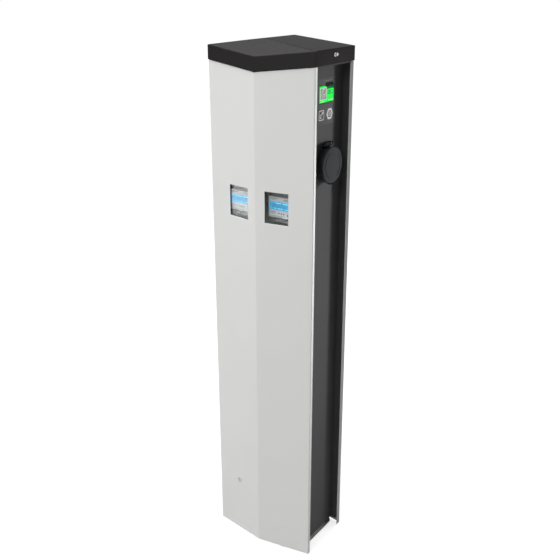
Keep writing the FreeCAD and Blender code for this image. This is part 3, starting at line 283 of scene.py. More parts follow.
wear = {"dirt": (0.30, 0.27, 0.23), "streakShare": 0.12, "spangleShade": 0.72, "bumpDepth": 0.0002}


def coated(name, colour, rough, clouds=0.05, dust=0.0, fine=1500, coarse=300, bump=0.05,
           specular=0.5, metallic=0.0, brushed=False):
    # colour varies by the share "clouds", dust lies near the ground and in streaks, and the grain
    # (or the brushed lines) moves the gloss and the height
    material = bpy.data.materials.new(name)
    material.use_nodes = True
    tree = material.node_tree
    shader = tree.nodes["Principled BSDF"]
    grain = useGroup(tree, grainGroup, Fine=fine, Coarse=coarse)
    weather = useGroup(tree, weatherGroup)
    darker = tuple(c * (1 - clouds) for c in colour)
    lighter = tuple(min(1.0, c * (1 + clouds)) for c in colour)
    base = blended(tree, weather.outputs["Clouds"], darker, lighter)
    height = grain.outputs["Height"]
    gloss = spread(tree, grain.outputs["Speckle"], 0, 1, rough - 0.04, rough + 0.05)
    if brushed:
        brush = useGroup(tree, brushGroup)
        shade = tuple(c * wear["spangleShade"] for c in colour)
        base = blended(tree, brush.outputs["Spangle"], base, shade)
        gloss = spread(tree, brush.outputs["Lines"], 0.3, 0.7, rough - 0.08, rough + 0.1)
        height = brush.outputs["Lines"]
    if dust:
        streaks = maths(tree, "MULTIPLY", weather.outputs["Streaks"], wear["streakShare"])
        amount = maths(tree, "MULTIPLY", maths(tree, "ADD", weather.outputs["Splash"], streaks), dust)
        base = blended(tree, amount, base, wear["dirt"])
    tree.links.new(base, shader.inputs["Base Color"])
    tree.links.new(gloss, shader.inputs["Roughness"])
    shader.inputs["Metallic"].default_value = metallic
    shader.inputs["Specular IOR Level"].default_value = specular
    relief = tree.nodes.new("ShaderNodeBump")
    relief.inputs["Strength"].default_value = bump
    relief.inputs["Distance"].default_value = wear["bumpDepth"]
    tree.links.new(height, relief.inputs["Height"])
    tree.links.new(relief.outputs["Normal"], shader.inputs["Normal"])
    return material


def lit(name, colour, strength, rough=0.25):
    # a glowing layer under glass
    material = coated(name, colour, rough, clouds=0.04, bump=0.0, specular=0.12)
    shader = material.node_tree.nodes["Principled BSDF"]
    shader.inputs["Emission Color"].default_value = (*colour, 1)
    shader.inputs["Emission Strength"].default_value = strength
    return material


coverWhite = coated("coverWhite", (0.80, 0.805, 0.79), 0.42, clouds=0.012, dust=0.06, fine=1100,
                    coarse=260, bump=0.10)
lockPale = coated("lockPale", (0.66, 0.665, 0.65), 0.40, clouds=0.02, fine=1800, bump=0.05)
channelGrey = coated("channelGrey", (0.060, 0.060, 0.062), 0.46, clouds=0.06, dust=0.10, fine=1300)
capGrey = coated("capGrey", (0.0165, 0.0145, 0.0150), 0.42, clouds=0.10, fine=2600, coarse=900,
                 bump=0.16, specular=0.36)
lidGrey = coated("lidGrey", (0.026, 0.028, 0.030), 0.38, clouds=0.08, fine=2400, coarse=800, bump=0.12,
                 specular=0.42)
socketBlack = coated("socketBlack", (0.014, 0.0145, 0.015), 0.36, clouds=0.08, fine=2400, bump=0.08)
housingGrey = coated("housingGrey", (0.034, 0.034, 0.035), 0.44, clouds=0.08, fine=2400, bump=0.08)
rubberBlack = coated("rubberBlack", (0.018, 0.018, 0.018), 0.72, clouds=0.10, fine=1800, bump=0.10,
                     specular=0.3)
zincSteel = coated("zincSteel", (0.62, 0.63, 0.64), 0.38, clouds=0.05, metallic=0.9, brushed=True,
                   bump=0.04)
brightSteel = coated("brightSteel", (0.70, 0.70, 0.69), 0.26, clouds=0.04, metallic=1.0, brushed=True,
                     bump=0.05)
brassTurned = coated("brassTurned", (0.72, 0.50, 0.22), 0.28, clouds=0.06, metallic=1.0, brushed=True,
                     bump=0.05)
copperBar = coated("copperBar", (0.74, 0.40, 0.26), 0.32, clouds=0.08, metallic=1.0, brushed=True,
                   bump=0.05)
deviceGrey = coated("deviceGrey", (0.50, 0.50, 0.47), 0.48, clouds=0.03, fine=2200, bump=0.06)
meterGrey = coated("meterGrey", (0.50, 0.50, 0.49), 0.45, clouds=0.03, fine=2200, bump=0.06)
deviceWhite = coated("deviceWhite", (0.68, 0.68, 0.65), 0.45, clouds=0.03, fine=2200, bump=0.06)
deviceDark = coated("deviceDark", (0.055, 0.056, 0.060), 0.45, clouds=0.06, fine=2200, bump=0.08)
terminalBeige = coated("terminalBeige", (0.52, 0.49, 0.41), 0.48, clouds=0.04, fine=2200, bump=0.06)
controllerBlue = coated("controllerBlue", (0.045, 0.075, 0.12), 0.42, clouds=0.05, fine=2200,
                        bump=0.08)
boardGreen = coated("boardGreen", (0.02, 0.12, 0.06), 0.35, clouds=0.15, fine=900, bump=0.08)
leverBlack = coated("leverBlack", (0.02, 0.02, 0.022), 0.32, clouds=0.05, fine=2200, bump=0.05)
buttonYellow = coated("buttonYellow", (0.72, 0.42, 0.03), 0.35, clouds=0.05, fine=2200, bump=0.05)
buttonGrey = coated("buttonGrey", (0.14, 0.14, 0.15), 0.4, clouds=0.05, fine=2200, bump=0.05)
panelFoil = coated("panelFoil", (0.084, 0.081, 0.083), 0.42, clouds=0.03, fine=3000, coarse=1200,
                   bump=0.03, specular=0.3)
screenBlack = coated("screenBlack", (0.004, 0.004, 0.005), 0.16, clouds=0.02, bump=0.0, specular=0.25)
inkLight = coated("inkLight", (0.60, 0.60, 0.60), 0.45, clouds=0.04, bump=0.0)
inkFaint = coated("inkFaint", (0.16, 0.16, 0.16), 0.45, clouds=0.04, bump=0.0)
inkDark = coated("inkDark", (0.035, 0.036, 0.04), 0.45, clouds=0.04, bump=0.0)
badgeInk = coated("badgeInk", (0.72, 0.74, 0.75), 0.35, clouds=0.03, bump=0.0)
screenGreen = lit("screenGreen", (0.010, 0.62, 0.060), 0.55)
screenPale = lit("screenPale", (0.42, 0.36, 0.40), 0.6)
screenDim = lit("screenDim", (0.01, 0.10, 0.035), 0.35)
displayBlue = lit("displayBlue", (0.055, 0.33, 0.56), 0.45)
displayDark = lit("displayDark", (0.012, 0.08, 0.20), 0.35)
displayPale = lit("displayPale", (0.20, 0.56, 0.70), 0.45)

clearPane = bpy.data.materials.new("clearPane")
clearPane.use_nodes = True
paneShader = clearPane.node_tree.nodes["Principled BSDF"]
paneShader.inputs["Base Color"].default_value = (0.93, 0.96, 0.97, 1)
paneShader.inputs["Transmission Weight"].default_value = 1.0
paneShader.inputs["IOR"].default_value = 1.5
paneShader.inputs["Roughness"].default_value = 0.03
print("finishes made")

# the finish of each node of the frame; the last six are replaced by new pieces further on
nodeFinish = {
    "base_plate": zincSteel, "foot_brackets": zincSteel, "cross_rails": zincSteel,
    "mounting_plate": zincSteel, "cable_clamps": zincSteel, "din_rails": brightSteel,
    "side_channel_left": channelGrey, "side_channel_right": channelGrey, "top_plate": channelGrey,
    "cover_dowels": brightSteel, "lock_receptacle": brightSteel, "fixing_screws": brightSteel,
    "latch_pin_left": brightSteel, "latch_pin_right": brightSteel, "lid_hinge_pins": brightSteel,
    "lid_springs": brightSteel, "window_gaskets": rubberBlack, "lid_gasket_left": rubberBlack,
    "lid_gasket_right": rubberBlack, "window_pane_left": clearPane, "window_pane_right": clearPane,
    "meter_left": meterGrey, "meter_right": meterGrey, "surge_arrester": deviceGrey,
    "breaker_left": deviceWhite, "breaker_right": deviceWhite, "contactor_left": deviceDark,
    "contactor_right": deviceDark, "power_supply": deviceDark, "latch_motor_left": deviceDark,
    "latch_motor_right": deviceDark, "terminal_blocks": terminalBeige, "earth_bar": copperBar,
    "controller_left": controllerBlue, "controller_right": controllerBlue, "antenna": socketBlack,
    "card_readers": boardGreen, "breaker_lever_left": leverBlack, "breaker_lever_right": leverBlack,
    "test_button_left": buttonYellow, "test_button_right": buttonYellow,
    "meter_button_left": buttonGrey, "meter_button_right": buttonGrey,
    "meter_display_left": displayBlue, "meter_display_right": displayBlue,
    "socket_housing_left": housingGrey, "socket_housing_right": housingGrey,
    "socket_contacts_left": brassTurned, "socket_contacts_right": brassTurned,
    "panel_left": panelFoil, "panel_right": panelFoil, "screen_left": screenBlack,
    "screen_right": screenBlack, "cover_lock": lockPale,
    "cap_badges": badgeInk, "cap": capGrey, "front_cover": coverWhite, "rear_cover": coverWhite,
    "socket_lid_left": lidGrey, "socket_lid_right": lidGrey,
}
for name, node in nodes.items():
    node.data.materials.clear()
    node.data.materials.append(nodeFinish[name])
for side in sides:
    nodes["window_pane_" + side].visible_shadow = False  # lets the light in behind the clear pane
print("nodes finished:", len(nodeFinish))

# lengths in the dictionaries of the pieces are in millimetres
cover = {
    "halfWidth": 160, "corner": 91, "creaseRise": 25.4, "frontReturn": 10, "rearReturn": 15,
    "gauge": 2, "foldRadius": 2.6, "creaseRadius": 4, "foot": 3, "shoulder": 1402, "creaseTop": 1383.4,
    "windowLow": 1048 - 83.7 / 2, "windowHigh": 1048 + 83.7 / 2, "windowNear": 26.66, "windowFar": 92.45,
    "edge": 0.35, "sharpAngle": 50,
}


def foldedSheet(returned, windows):
    # the outer face of a cover: its outline in plan, bent at two corners and along the crease,
    # carried from the foot up to a top edge that falls from the corners to the crease
    c = cover
    half, front = c["halfWidth"], -c["corner"]
    crease = front - c["creaseRise"]
    corners = [(-half, front + returned), (-half, front), (0, crease), (half, front),
               (half, front + returned)]
    line = bentLine(corners, [c["foldRadius"], c["creaseRadius"], c["foldRadius"]], 8)
    stops = [s * x for s in (-1, 1) for x in (c["windowNear"], c["windowFar"])] if windows else []
    middle = slice(1, -1)
    x = np.union1d(line[middle, 0], stops)
    y = np.interp(x, line[middle, 0], line[middle, 1])
    line = np.concatenate([line[:1], np.stack([x, y], 1), line[-1:]])
    fall = (c["shoulder"] - c["creaseTop"]) / half
    level = np.ones(len(line))
    z = np.stack([level * c["foot"], level * c["windowLow"], level * c["windowHigh"],
                  c["shoulder"] - fall * (half - np.abs(line[:, 0]))])
    x, y = (np.repeat(line[None, :, k], len(z), 0) for k in (0, 1))
    points = np.stack([x, y, z], 2)
    faces = gridFaces(len(z), len(line))
    if windows:
        between = (line[1:, 0] + line[:-1, 0]) / 2
        cut = np.zeros((len(z) - 1, len(between)), bool)
        cut[1] = (np.abs(between) > c["windowNear"]) & (np.abs(between) < c["windowFar"])
        faces = faces[~cut.ravel()]
    return points.reshape(-1, 3) * mm, [faces]


def tube(x, z, start, end, bore, wall, steps=40):
    # a tube along Y with both of its ends closed as rings
    rings = [(start, bore), (end, bore), (end, bore + wall), (start, bore + wall), (start, bore)]
    return turnedShape(np.array(rings) * mm, "y", (x * mm, 0, z * mm), steps)


def thicken(piece, gauge):
    # gives an outer face its wall, on the inside
    wall = piece.modifiers.new("wall", "SOLIDIFY")
    wall.thickness = gauge * mm
    wall.offset = -1
    wall.use_even_offset = True
    wall.use_quality_normals = True
    return piece


# bushes stand on the inside of the covers: three for the dowels, one for the lock, four for screws
fitting = {
    "edge": 0.3, "across": 110, "nearer": 77, "high": 1312, "low": 179, "gap": 0.9,
    "dowelBore": 4.1, "dowelWall": 3.9, "dowelEnd": -85,
    "lockBore": 8.1, "lockWall": 3.9, "lockGap": 1.8, "lockEnd": -89,
    "screwBore": 2.75, "screwWall": 3.75, "screwEnd": 78,
    "tabMiddle": 75, "tabHalf": 7, "tabLow": 1.0, "tabHigh": 5.0, "tabIn": 1.6, "tabOut": 0.4,
}


def sheetPiece(name, returned, windows, turned, extras):
    points, faces = foldedSheet(returned, windows)
    if turned:
        points = points * (-1, -1, 1)
    piece = thicken(meshPiece(name, points, faces, [coverWhite]), cover["gauge"])
    soften(piece, cover["edge"] * mm, cover["sharpAngle"])
    points, faces = merged(extras)
    fittings = weld(meshPiece(name + "Fittings", points, faces, [coverWhite]))
    soften(fittings, fitting["edge"] * mm, cover["sharpAngle"])
    return piece, fittings


slope = cover["creaseRise"] / cover["halfWidth"]


def innerFace(x):
    # the inner face of the front cover lies one gauge behind a plane that falls back from the crease
    return -cover["corner"] - cover["creaseRise"] + abs(x) * slope + cover["gauge"]


c = fitting
extras = [tube(x, z, innerFace(x) + c["gap"], c["dowelEnd"], c["dowelBore"], c["dowelWall"])
          for x, z in ((-c["across"], c["high"]), (c["across"], c["high"]), (c["nearer"], c["low"]))]
extras.append(tube(-c["nearer"], c["low"], innerFace(c["nearer"]) + c["lockGap"], c["lockEnd"],
                   c["lockBore"], c["lockWall"]))
tabFace = innerFace(c["tabMiddle"]) - cover["gauge"]
extras.append(boxes(np.array([c["tabMiddle"] - c["tabHalf"], tabFace + c["tabOut"], c["tabLow"]]) * mm,
                    np.array([c["tabMiddle"] + c["tabHalf"], tabFace + c["tabIn"], c["tabHigh"]]) * mm))
frontCover, frontFittings = sheetPiece("frontCover", cover["frontReturn"], True, False, extras)
finished(frontCover, "cover", "cover_paint", "front_cover")
finished(frontFittings, "cover", "cover_paint")

extras = [tube(x, z, -innerFace(c["across"]) - c["gap"], c["screwEnd"], c["screwBore"], c["screwWall"])
          for x in (-c["across"], c["across"]) for z in (c["high"], c["low"])]
rearCover, rearFittings = sheetPiece("rearCover", cover["rearReturn"], False, True, extras)
finished(rearCover, "post", "cover_paint", "rear_cover")
finished(rearFittings, "post", "cover_paint")
print("covers folded")

cap = {
    "halfWidth": 161.5, "corner": 92.52, "crease": 117.92, "cornerFoot": 1402.7, "creaseFoot": 1384.1,
    "eaves": 1439.4, "creaseEaves": 1420.7, "ridge": 1460, "ridgeEnd": 64.2, "wall": 3, "edge": 1.6,
    "bossAcross": 110, "bossAlong": 60, "bossLow": 1402, "bossHigh": 1445, "bossRadius": 6,
    "bossBore": 2.6,
}


def capSkin():
    # three rings of six corners each: the foot, the eaves and the ridge, whose corners fall on its
    # two ends, so that the side slopes meet along it and the front and rear facets at its ends
    c = cap
    x = np.array([-1, 0, 1, 1, 0, -1]) * c["halfWidth"]
    y = np.array([-c["corner"], -c["crease"], -c["corner"], c["corner"], c["crease"], c["corner"]])
    creases = np.array([0, 1, 0, 0, 1, 0], bool)
    foot = np.where(creases, c["creaseFoot"], c["cornerFoot"])
    eaves = np.where(creases, c["creaseEaves"], c["eaves"])
    ridgeY = np.sign(y) * c["ridgeEnd"]
    rings = [np.stack([x, y, foot], 1), np.stack([x, y, eaves], 1),
             np.stack([x * 0, ridgeY, x * 0 + c["ridge"]], 1)]
    points = np.concatenate(rings) * mm
    return points, [gridFaces(3, 6, closeColumns=True)]


def capBosses():
    # four screw bosses, each a tube along Z with both of its ends closed as rings
    c = cap
    low, high, outer, bore = c["bossLow"], c["bossHigh"], c["bossRadius"], c["bossBore"]
    rings = np.array([(low, bore), (low, outer), (high, outer), (high, bore), (low, bore)]) * mm
    return merged([turnedShape(rings, "z", (x * mm, y * mm, 0), 32)
                   for x in (-c["bossAcross"], c["bossAcross"])
                   for y in (-c["bossAlong"], c["bossAlong"])])


points, faces = capSkin()
capShell = thicken(weld(meshPiece("capShell", points, faces, [capGrey]), 1e-5), cap["wall"])
soften(capShell, cap["edge"] * mm, 5, 4)
finished(capShell, "post", "cap_plastic", "cap")
points, faces = capBosses()
bosses = weld(meshPiece("capBosses", points, faces, [capGrey]))
finished(soften(bosses, fitting["edge"] * mm, cover["sharpAngle"]), "post", "cap_plastic")
print("cap made")

lid = {
    "face": 160, "foot": 142, "radius": 47, "wall": 3, "edge": 2.2, "middle": 1154, "dome": 0.7,
    "grooveRadius": 36, "grooveWidth": 3.4, "grooveDepth": 0.9, "grooveHalfTurn": 66, "steps": 144,
    "hingeX": 147, "hingeZ": 1206, "barrelLow": -11.5, "barrelHigh": 3.5, "barrelRadius": 5, "bore": 2.1,
    "armInner": 145.25, "armOuter": 157, "armLow": 1198, "armHollow": 3.5,
    "tabHalf": 11, "tabReach": 4, "tabRoot": 3.2, "tabInner": 152.2, "tabOuter": 158.2, "softEdge": 0.4,
}


def lidSkin():
    # a cup turned about X: inside first, round the foot and up the wall, over a rounded edge to the
    # middle of the face; the face is lowered by the dome, as the square of the radius, and by two
    # grooves, whose depth falls off as the square of the distance from their radius and fades out
    # beyond a set angle from level
    c = lid
    inner = c["radius"] - c["wall"]
    angle = np.linspace(0, np.pi / 2, 7)
    edge = np.stack([c["face"] - c["dome"] - c["edge"] + c["edge"] * np.sin(angle),
                     c["radius"] - c["edge"] + c["edge"] * np.cos(angle)], 1)
    radii = np.concatenate([np.linspace(c["radius"] - c["edge"] - 0.6, c["grooveRadius"] + 2.4, 4),
                            np.linspace(c["grooveRadius"] + 2, c["grooveRadius"] - 2, 17),
                            np.linspace(c["grooveRadius"] - 3, 6, 8), [2, 0.01]])
    inside = [(c["face"] - c["wall"], 0.01), (c["face"] - c["wall"], inner - 1.5),
              (c["face"] - c["wall"] - 0.5, inner - 0.5), (c["face"] - c["wall"] - 1.5, inner),
              (c["foot"] + 0.3, inner), (c["foot"], inner + 0.3), (c["foot"], c["radius"] - 0.3),
              (c["foot"] + 0.3, c["radius"])]
    face = np.stack([np.full(len(radii), float(c["face"])), radii], 1)
    profile = np.concatenate([inside, edge, face])
    onFace = np.arange(len(profile)) >= len(inside) + len(edge)
    turn = np.linspace(0, 2 * np.pi, c["steps"], endpoint=False)
    along, radius = (np.repeat(profile[:, k:k + 1], c["steps"], 1) for k in (0, 1))
    fromLevel = np.degrees(np.abs(np.arcsin(np.sin(turn))))
    fade = np.clip((c["grooveHalfTurn"] - fromLevel) / 5, 0, 1)
    hollow = np.clip(1 - (np.abs(radius - c["grooveRadius"]) / (c["grooveWidth"] / 2)) ** 2, 0, 1)
    sunk = c["dome"] * (radius / (c["radius"] - c["edge"])) ** 2 + c["grooveDepth"] * hollow * fade
    along = along - np.where(onFace[:, None], sunk, 0)
    points = np.stack([along, radius * np.cos(turn), c["middle"] + radius * np.sin(turn)], 2)
    return points.reshape(-1, 3) * mm, [gridFaces(len(profile), c["steps"], closeColumns=True)[:, ::-1]]


def lidArm():
    # the arm's outline in x and z stops short of the hinge bore along an arc around it
    c = lid
    angle = np.radians(np.linspace(0, -120, 7))
    arc = np.stack([c["hingeX"] + c["armHollow"] * np.cos(angle),
                    c["hingeZ"] + c["armHollow"] * np.sin(angle)], 1)
    outline = np.concatenate([[(c["armInner"], c["armLow"]), (c["armOuter"], c["armLow"]),
                               (c["armOuter"], c["hingeZ"])], arc])
    return extruded(outline[::-1] * mm, c["barrelLow"] * mm, c["barrelHigh"] * mm, "y")


def lidBarrel():
    c = lid
    # a tube along Y around the hinge pin, its outer ends chamfered
    a, b, r, h = c["barrelLow"], c["barrelHigh"], c["barrelRadius"], c["bore"]
    rings = [(a, h), (b, h), (b, r - 0.6), (b - 0.6, r), (a + 0.6, r), (a, r - 0.6), (a, h)]
    return turnedShape(np.array(rings) * mm, "y", (c["hingeX"] * mm, 0, c["hingeZ"] * mm), 40)


def lidTab():
    # the finger tab is a flattened tongue: its outline in y and z is a half round, carried along x
    c = lid
    angle = np.linspace(np.pi, 2 * np.pi, 17)
    low = c["middle"] - c["radius"]
    tongue = np.stack([c["tabHalf"] * np.cos(angle),
                       low + 1.5 + (c["tabReach"] + 1.5) * np.sin(angle)], 1)
    root = [(-c["tabHalf"], low + c["tabRoot"]), (c["tabHalf"], low + c["tabRoot"])]
    return extruded(np.concatenate([root, tongue]) * mm, c["tabInner"] * mm, c["tabOuter"] * mm, "x")


def turnedTo(side, points):
    # the left side is the right side turned half a turn about Z
    return points if side == "right" else points * (-1, -1, 1)


for side in sides:
    points, faces = merged([lidSkin(), lidArm(), lidBarrel(), lidTab()])
    piece = weld(meshPiece("lid_" + side, turnedTo(side, points), faces, [lidGrey]), 2e-5)
    soften(piece, lid["softEdge"] * mm, 45)
    finished(piece, "lid_" + side, "lid_plastic", "socket_lid_" + side)
print("lids made")


# flat marks are outlines of a set thickness on a face that looks along X
def flatPiece(outline, low, high):
    return extruded(outline, low, high, "x")


def bandPiece(outer, inner, low, high):
    # two closed outlines of equal count as one band with a front, a back and both edges
    loops = np.stack([outer, outer, inner, inner], 0)
    x = np.array([low, high, high, low])[:, None] * np.ones(loops.shape[1])
    points = np.concatenate([x[:, :, None], loops], 2)
    return points.reshape(-1, 3), [gridFaces(4, loops.shape[1], closeRows=True, closeColumns=True)]


def roundedBox(y0, y1, z0, z1, radius, steps=6):
    # corners as quarter circles, counted round from the lower left
    centres = [(y0 + radius, z0 + radius, 180), (y1 - radius, z0 + radius, 270),
               (y1 - radius, z1 - radius, 0), (y0 + radius, z1 - radius, 90)]
    rows = []
    for y, z, first in centres:
        angle = np.radians(np.linspace(first, first + 90, steps))
        rows.append(np.stack([y + radius * np.cos(angle), z + radius * np.sin(angle)], 1))
    return np.concatenate(rows)


def polygon(y, z, radius, corners, first=90):
    angle = np.radians(first + 360 * np.arange(corners) / corners)
    return np.stack([y + radius * np.cos(angle), z + radius * np.sin(angle)], 1)


def inset(y0, y1, z0, z1, by):
    return y0 + by, y1 - by, z0 + by, z1 - by


def marks(name, side, body, slot, material, parts):
    points, faces = merged(parts)
    piece = meshPiece(name + "_" + side, turnedTo(side, points * mm), faces, [material], smooth=False)
    return finished(piece, body, slot)


panel = {
    "face": 138, "proud": 0.12, "sunk": 0.05, "glass": 137.7, "left": -36.5, "right": 34.5, "low": 1308,
    "high": 1352, "margin": 1.6, "lineMiddle": 1362, "lineHalf": 1.1,
    "lineDashes": [(-16, 9), (-5.5, 14), (10, 5), (16.5, 8)],  # left end and length
    "strip": (-8, 29, 1347.6, 1357.2), "stripCorner": 3.4, "stripProud": 0.1,
}
# the screen's picture is in layers, whose two values are how far their back and front stand off the
# glass; its rows are (left end, length, low edge)
display = {
    "fieldLayer": (0.02, 0.08), "shadeLayer": (0.06, 0.12), "paleLayer": (0.08, 0.14),
    "barLeft": -1, "barLow": 1341.5, "shadeRows": [(3, 22, 1336), (3, 15, 1332.4), (3, 25, 1328.8)],
    "shadeHeight": 1.5, "paleRows": [(6, 24, 1313.4), (-28, 18, 1311.6)], "paleHeight": 1.6,
    "codeLeft": -31, "codeLow": 1316.5, "codeStep": 1.25, "codeCount": 21, "codeMargin": 1.6,
    "codeGap": 0.02, "codeLift": 0.14, "codeDepth": 0.05, "codeShare": 0.48, "seed": 7,
}
sign = {
    "low": 1267.5, "high": 1292, "cardLeft": -36.5, "cardRight": -12.5, "cardLine": 1.7,
    "stripe": (4.5, 13, 5, 6.8), "chip": (4.5, 11, 8, 14), "chipLine": 1.2,
    "arrow": [(0, 0), (-6.5, 0.8), (-4.6, -1.4), (-9, -6.2), (-7.3, -7.9), (-2.9, -3.3), (-1.0, -5.4)],
    "arrowTip": (-2.9, 20.2), "hexMiddle": 14.5, "hexDrop": 0.5, "hexRadius": 15.2, "hexLine": 5.6,
    "ringRadius": 5.6, "ringBore": 4.0, "dotRadius": 1.9,
}


def codeSquares():
    # a block of dark squares on a grid, drawn by a seeded generator, with three framed corners
    c = display
    n = c["codeCount"]
    on = np.random.default_rng(c["seed"]).random((n, n)) < c["codeShare"]
    i, j = np.meshgrid(np.arange(n), np.arange(n), indexing="ij")
    for a, b in ((3, 3), (3, n - 4), (n - 4, 3)):
        reach = np.maximum(abs(i - a), abs(j - b))
        on = np.where(reach <= 4, (reach == 3) | (reach <= 1), on)
    i, j = np.nonzero(on)
    low = np.stack([np.full(len(i), panel["glass"] + c["codeLift"]),
                    c["codeLeft"] + c["codeMargin"] + j * c["codeStep"],
                    c["codeLow"] + c["codeMargin"] + i * c["codeStep"]], 1)
    side = c["codeStep"] - c["codeGap"]
    return boxes(low, low + (c["codeDepth"], side, side))


def drawScreen(side):
    c, d = panel, display
    field, shade, pale = ([c["glass"] + x for x in d[layer]] for layer in
                          ("fieldLayer", "shadeLayer", "paleLayer"))
    edges = inset(c["left"], c["right"], c["low"], c["high"], c["margin"])
    marks("displayField", side, "post", "screen_glass", screenGreen,
          [flatPiece(roundedBox(*edges, 0.6), *field)])
    rows = [flatPiece(roundedBox(d["barLeft"], edges[1], d["barLow"], edges[3], 0.3), *shade)]
    rows += [flatPiece(roundedBox(y, y + w, z, z + d["shadeHeight"], 0.4), *shade)
             for y, w, z in d["shadeRows"]]
    marks("displayShade", side, "post", "screen_glass", screenDim, rows)
    y, z, span = d["codeLeft"], d["codeLow"], d["codeStep"] * d["codeCount"] + 2 * d["codeMargin"]
    rows = [flatPiece(roundedBox(y, y + span, z, z + span, 0.4), *pale)]
    rows += [flatPiece(roundedBox(y, y + w, z, z + d["paleHeight"], 0.5), *pale)
             for y, w, z in d["paleRows"]]
    marks("displayPale", side, "post", "screen_glass", screenPale, rows)
    marks("displayCode", side, "post", "screen_glass", inkDark, [codeSquares()])


def signParts(layer):
    # a card outline with a stripe, a chip and an arrow on it, and a hexagon with a ring and a dot
    c = sign
    card = (c["cardLeft"], c["cardRight"], c["low"], c["high"])
    stripe, chip = ([card[0] + a, card[0] + b, card[2] + e, card[2] + f]
                    for a, b, e, f in (c["stripe"], c["chip"]))
    tip = np.add((c["cardRight"], c["low"]), c["arrowTip"])
    y, z = c["hexMiddle"], (c["low"] + c["high"]) / 2 - c["hexDrop"]
    return [bandPiece(roundedBox(*card, 2.6), roundedBox(*inset(*card, c["cardLine"]), 1.2), *layer),
            flatPiece(roundedBox(*stripe, 0.6), *layer),
            bandPiece(roundedBox(*chip, 1), roundedBox(*inset(*chip, c["chipLine"]), 0.5), *layer),
            flatPiece(tip + c["arrow"][::-1], *layer),
            bandPiece(polygon(y, z, c["hexRadius"], 6, 0),
                      polygon(y, z, c["hexRadius"] - c["hexLine"], 6, 0), *layer),
            bandPiece(polygon(y, z, c["ringRadius"], 24), polygon(y, z, c["ringBore"], 24), *layer),
            flatPiece(polygon(y, z, c["dotRadius"], 16), *layer)]


for side in sides:
    drawScreen(side)
    c = panel
    low, high = c["face"] - c["sunk"], c["face"] + c["proud"]
    marks("panelSigns", side, "post", "badge_white", inkLight, signParts((low, high)))
    z0, z1 = c["lineMiddle"] - c["lineHalf"], c["lineMiddle"] + c["lineHalf"]
    dashes = [flatPiece(roundedBox(y, y + w, z0, z1, 0.5), low, high) for y, w in c["lineDashes"]]
    marks("panelLine", side, "post", "badge_white", inkFaint, dashes)
    strip = flatPiece(roundedBox(*c["strip"], c["stripCorner"]), low, high + c["stripProud"])
    marks("panelStrip", side, "post", "screen_glass", screenBlack, [strip])
print("panels drawn")

badge = {
    "face": 161.5, "gauge": 0.8, "middle": 1425, "halfLength": 13, "halfHeight": 6, "chamfer": 0.5,
    "levels": (0, 0.3, 0.55), "markLow": 0.5, "ringMiddle": -4.6, "ringRadius": 4.6, "ringBore": 2.2,
    "leaf": [(2.0, -3.6), (6.6, -3.6), (9.8, 0), (6.6, 3.6), (2.0, 3.6), (4.0, 0)], "softEdge": 0.1,
}


def badgePlate():
    # a stadium outline carried out from the cap, its last step drawn in as a chamfer
    c = badge
    edges = (-c["halfLength"], c["halfLength"], c["middle"] - c["halfHeight"],
             c["middle"] + c["halfHeight"])
    outline = roundedBox(*edges, c["halfHeight"] - 0.01, 12)
    smaller = roundedBox(*inset(*edges, c["chamfer"]), c["halfHeight"] - c["chamfer"] - 0.01, 12)
    n = len(outline)
    x = np.repeat(c["face"] + np.array(c["levels"]), n).reshape(-1, n, 1)
    points = np.concatenate([x, np.stack([outline, outline, smaller])], 2).reshape(-1, 3)
    ring = np.arange(n)
    return points, [gridFaces(3, n, closeColumns=True), ring[None, ::-1], ring[None, :] + 2 * n]


for side in sides:
    c = badge
    points, faces = badgePlate()
    plate = meshPiece("badge_" + side, turnedTo(side, points * mm), faces, [socketBlack])
    soften(plate, c["softEdge"] * mm, 40)
    finished(plate, "post", "badge_white", "cap_badges")
    low, high = c["face"] + c["markLow"], c["face"] + c["gauge"]
    ringMark = bandPiece(polygon(c["ringMiddle"], c["middle"], c["ringRadius"], 32),
                         polygon(c["ringMiddle"], c["middle"], c["ringBore"], 32), low, high)
    leaf = flatPiece(np.add(c["leaf"], (0, c["middle"])), low, high)
    marks("badgeMark", side, "post", "badge_white", badgeInk, [ringMark, leaf])
print("badges made")

# rows are (x0, x1, z0, z1): x is from the middle of the meter, and z from the middle of its display
# for the bars and the glow, and from the floor for the print and the rims
meter = {
    "front": -93, "across": 62.3, "displayMiddle": 1052, "figures": 7, "figureStep": 6.4,
    "figureWidth": 4.2, "figureHeight": 10, "stroke": 0.9, "figuresLeft": -24, "figuresLow": -5,
    "bars": [(-30, -27, 3, 5), (-30, -27, -1, 1), (22, 30, 2.5, 4), (22, 30, -4, -2.5),
             (-24, 20, -8.6, -7.8)],
    "glow": [(-14, 2, 5.6, 8.2), (-20, -12, -8, -5.6), (-8, 8, -8, -5.6), (14, 24, -8, -5.6),
             (8, 26, 5.6, 8.2)],
    "print": [(-30, -12, 1035.2, 1036.2), (-30, -16, 1032.6, 1033.4), (-30, -14, 1030.2, 1031),
              (-6, -2.5, 1031, 1034.5), (2, 5.5, 1031, 1034.5), (9, 12.5, 1031, 1034.5),
              (-30, -8, 1070.4, 1071.6), (-30, -18, 1067.6, 1068.4), (8, 30, 1067.4, 1068.2),
              (12, 30, 1070.4, 1071.4), (-30, 10, 1025, 1025.8), (-30, 2, 1023, 1023.6)],
    "rims": [(-33, 33, 1063.5, 1064.4), (-33, 33, 1039.6, 1040.5)],
    "printProud": 0.12, "rimProud": 0.4, "sunk": 0.05,
}


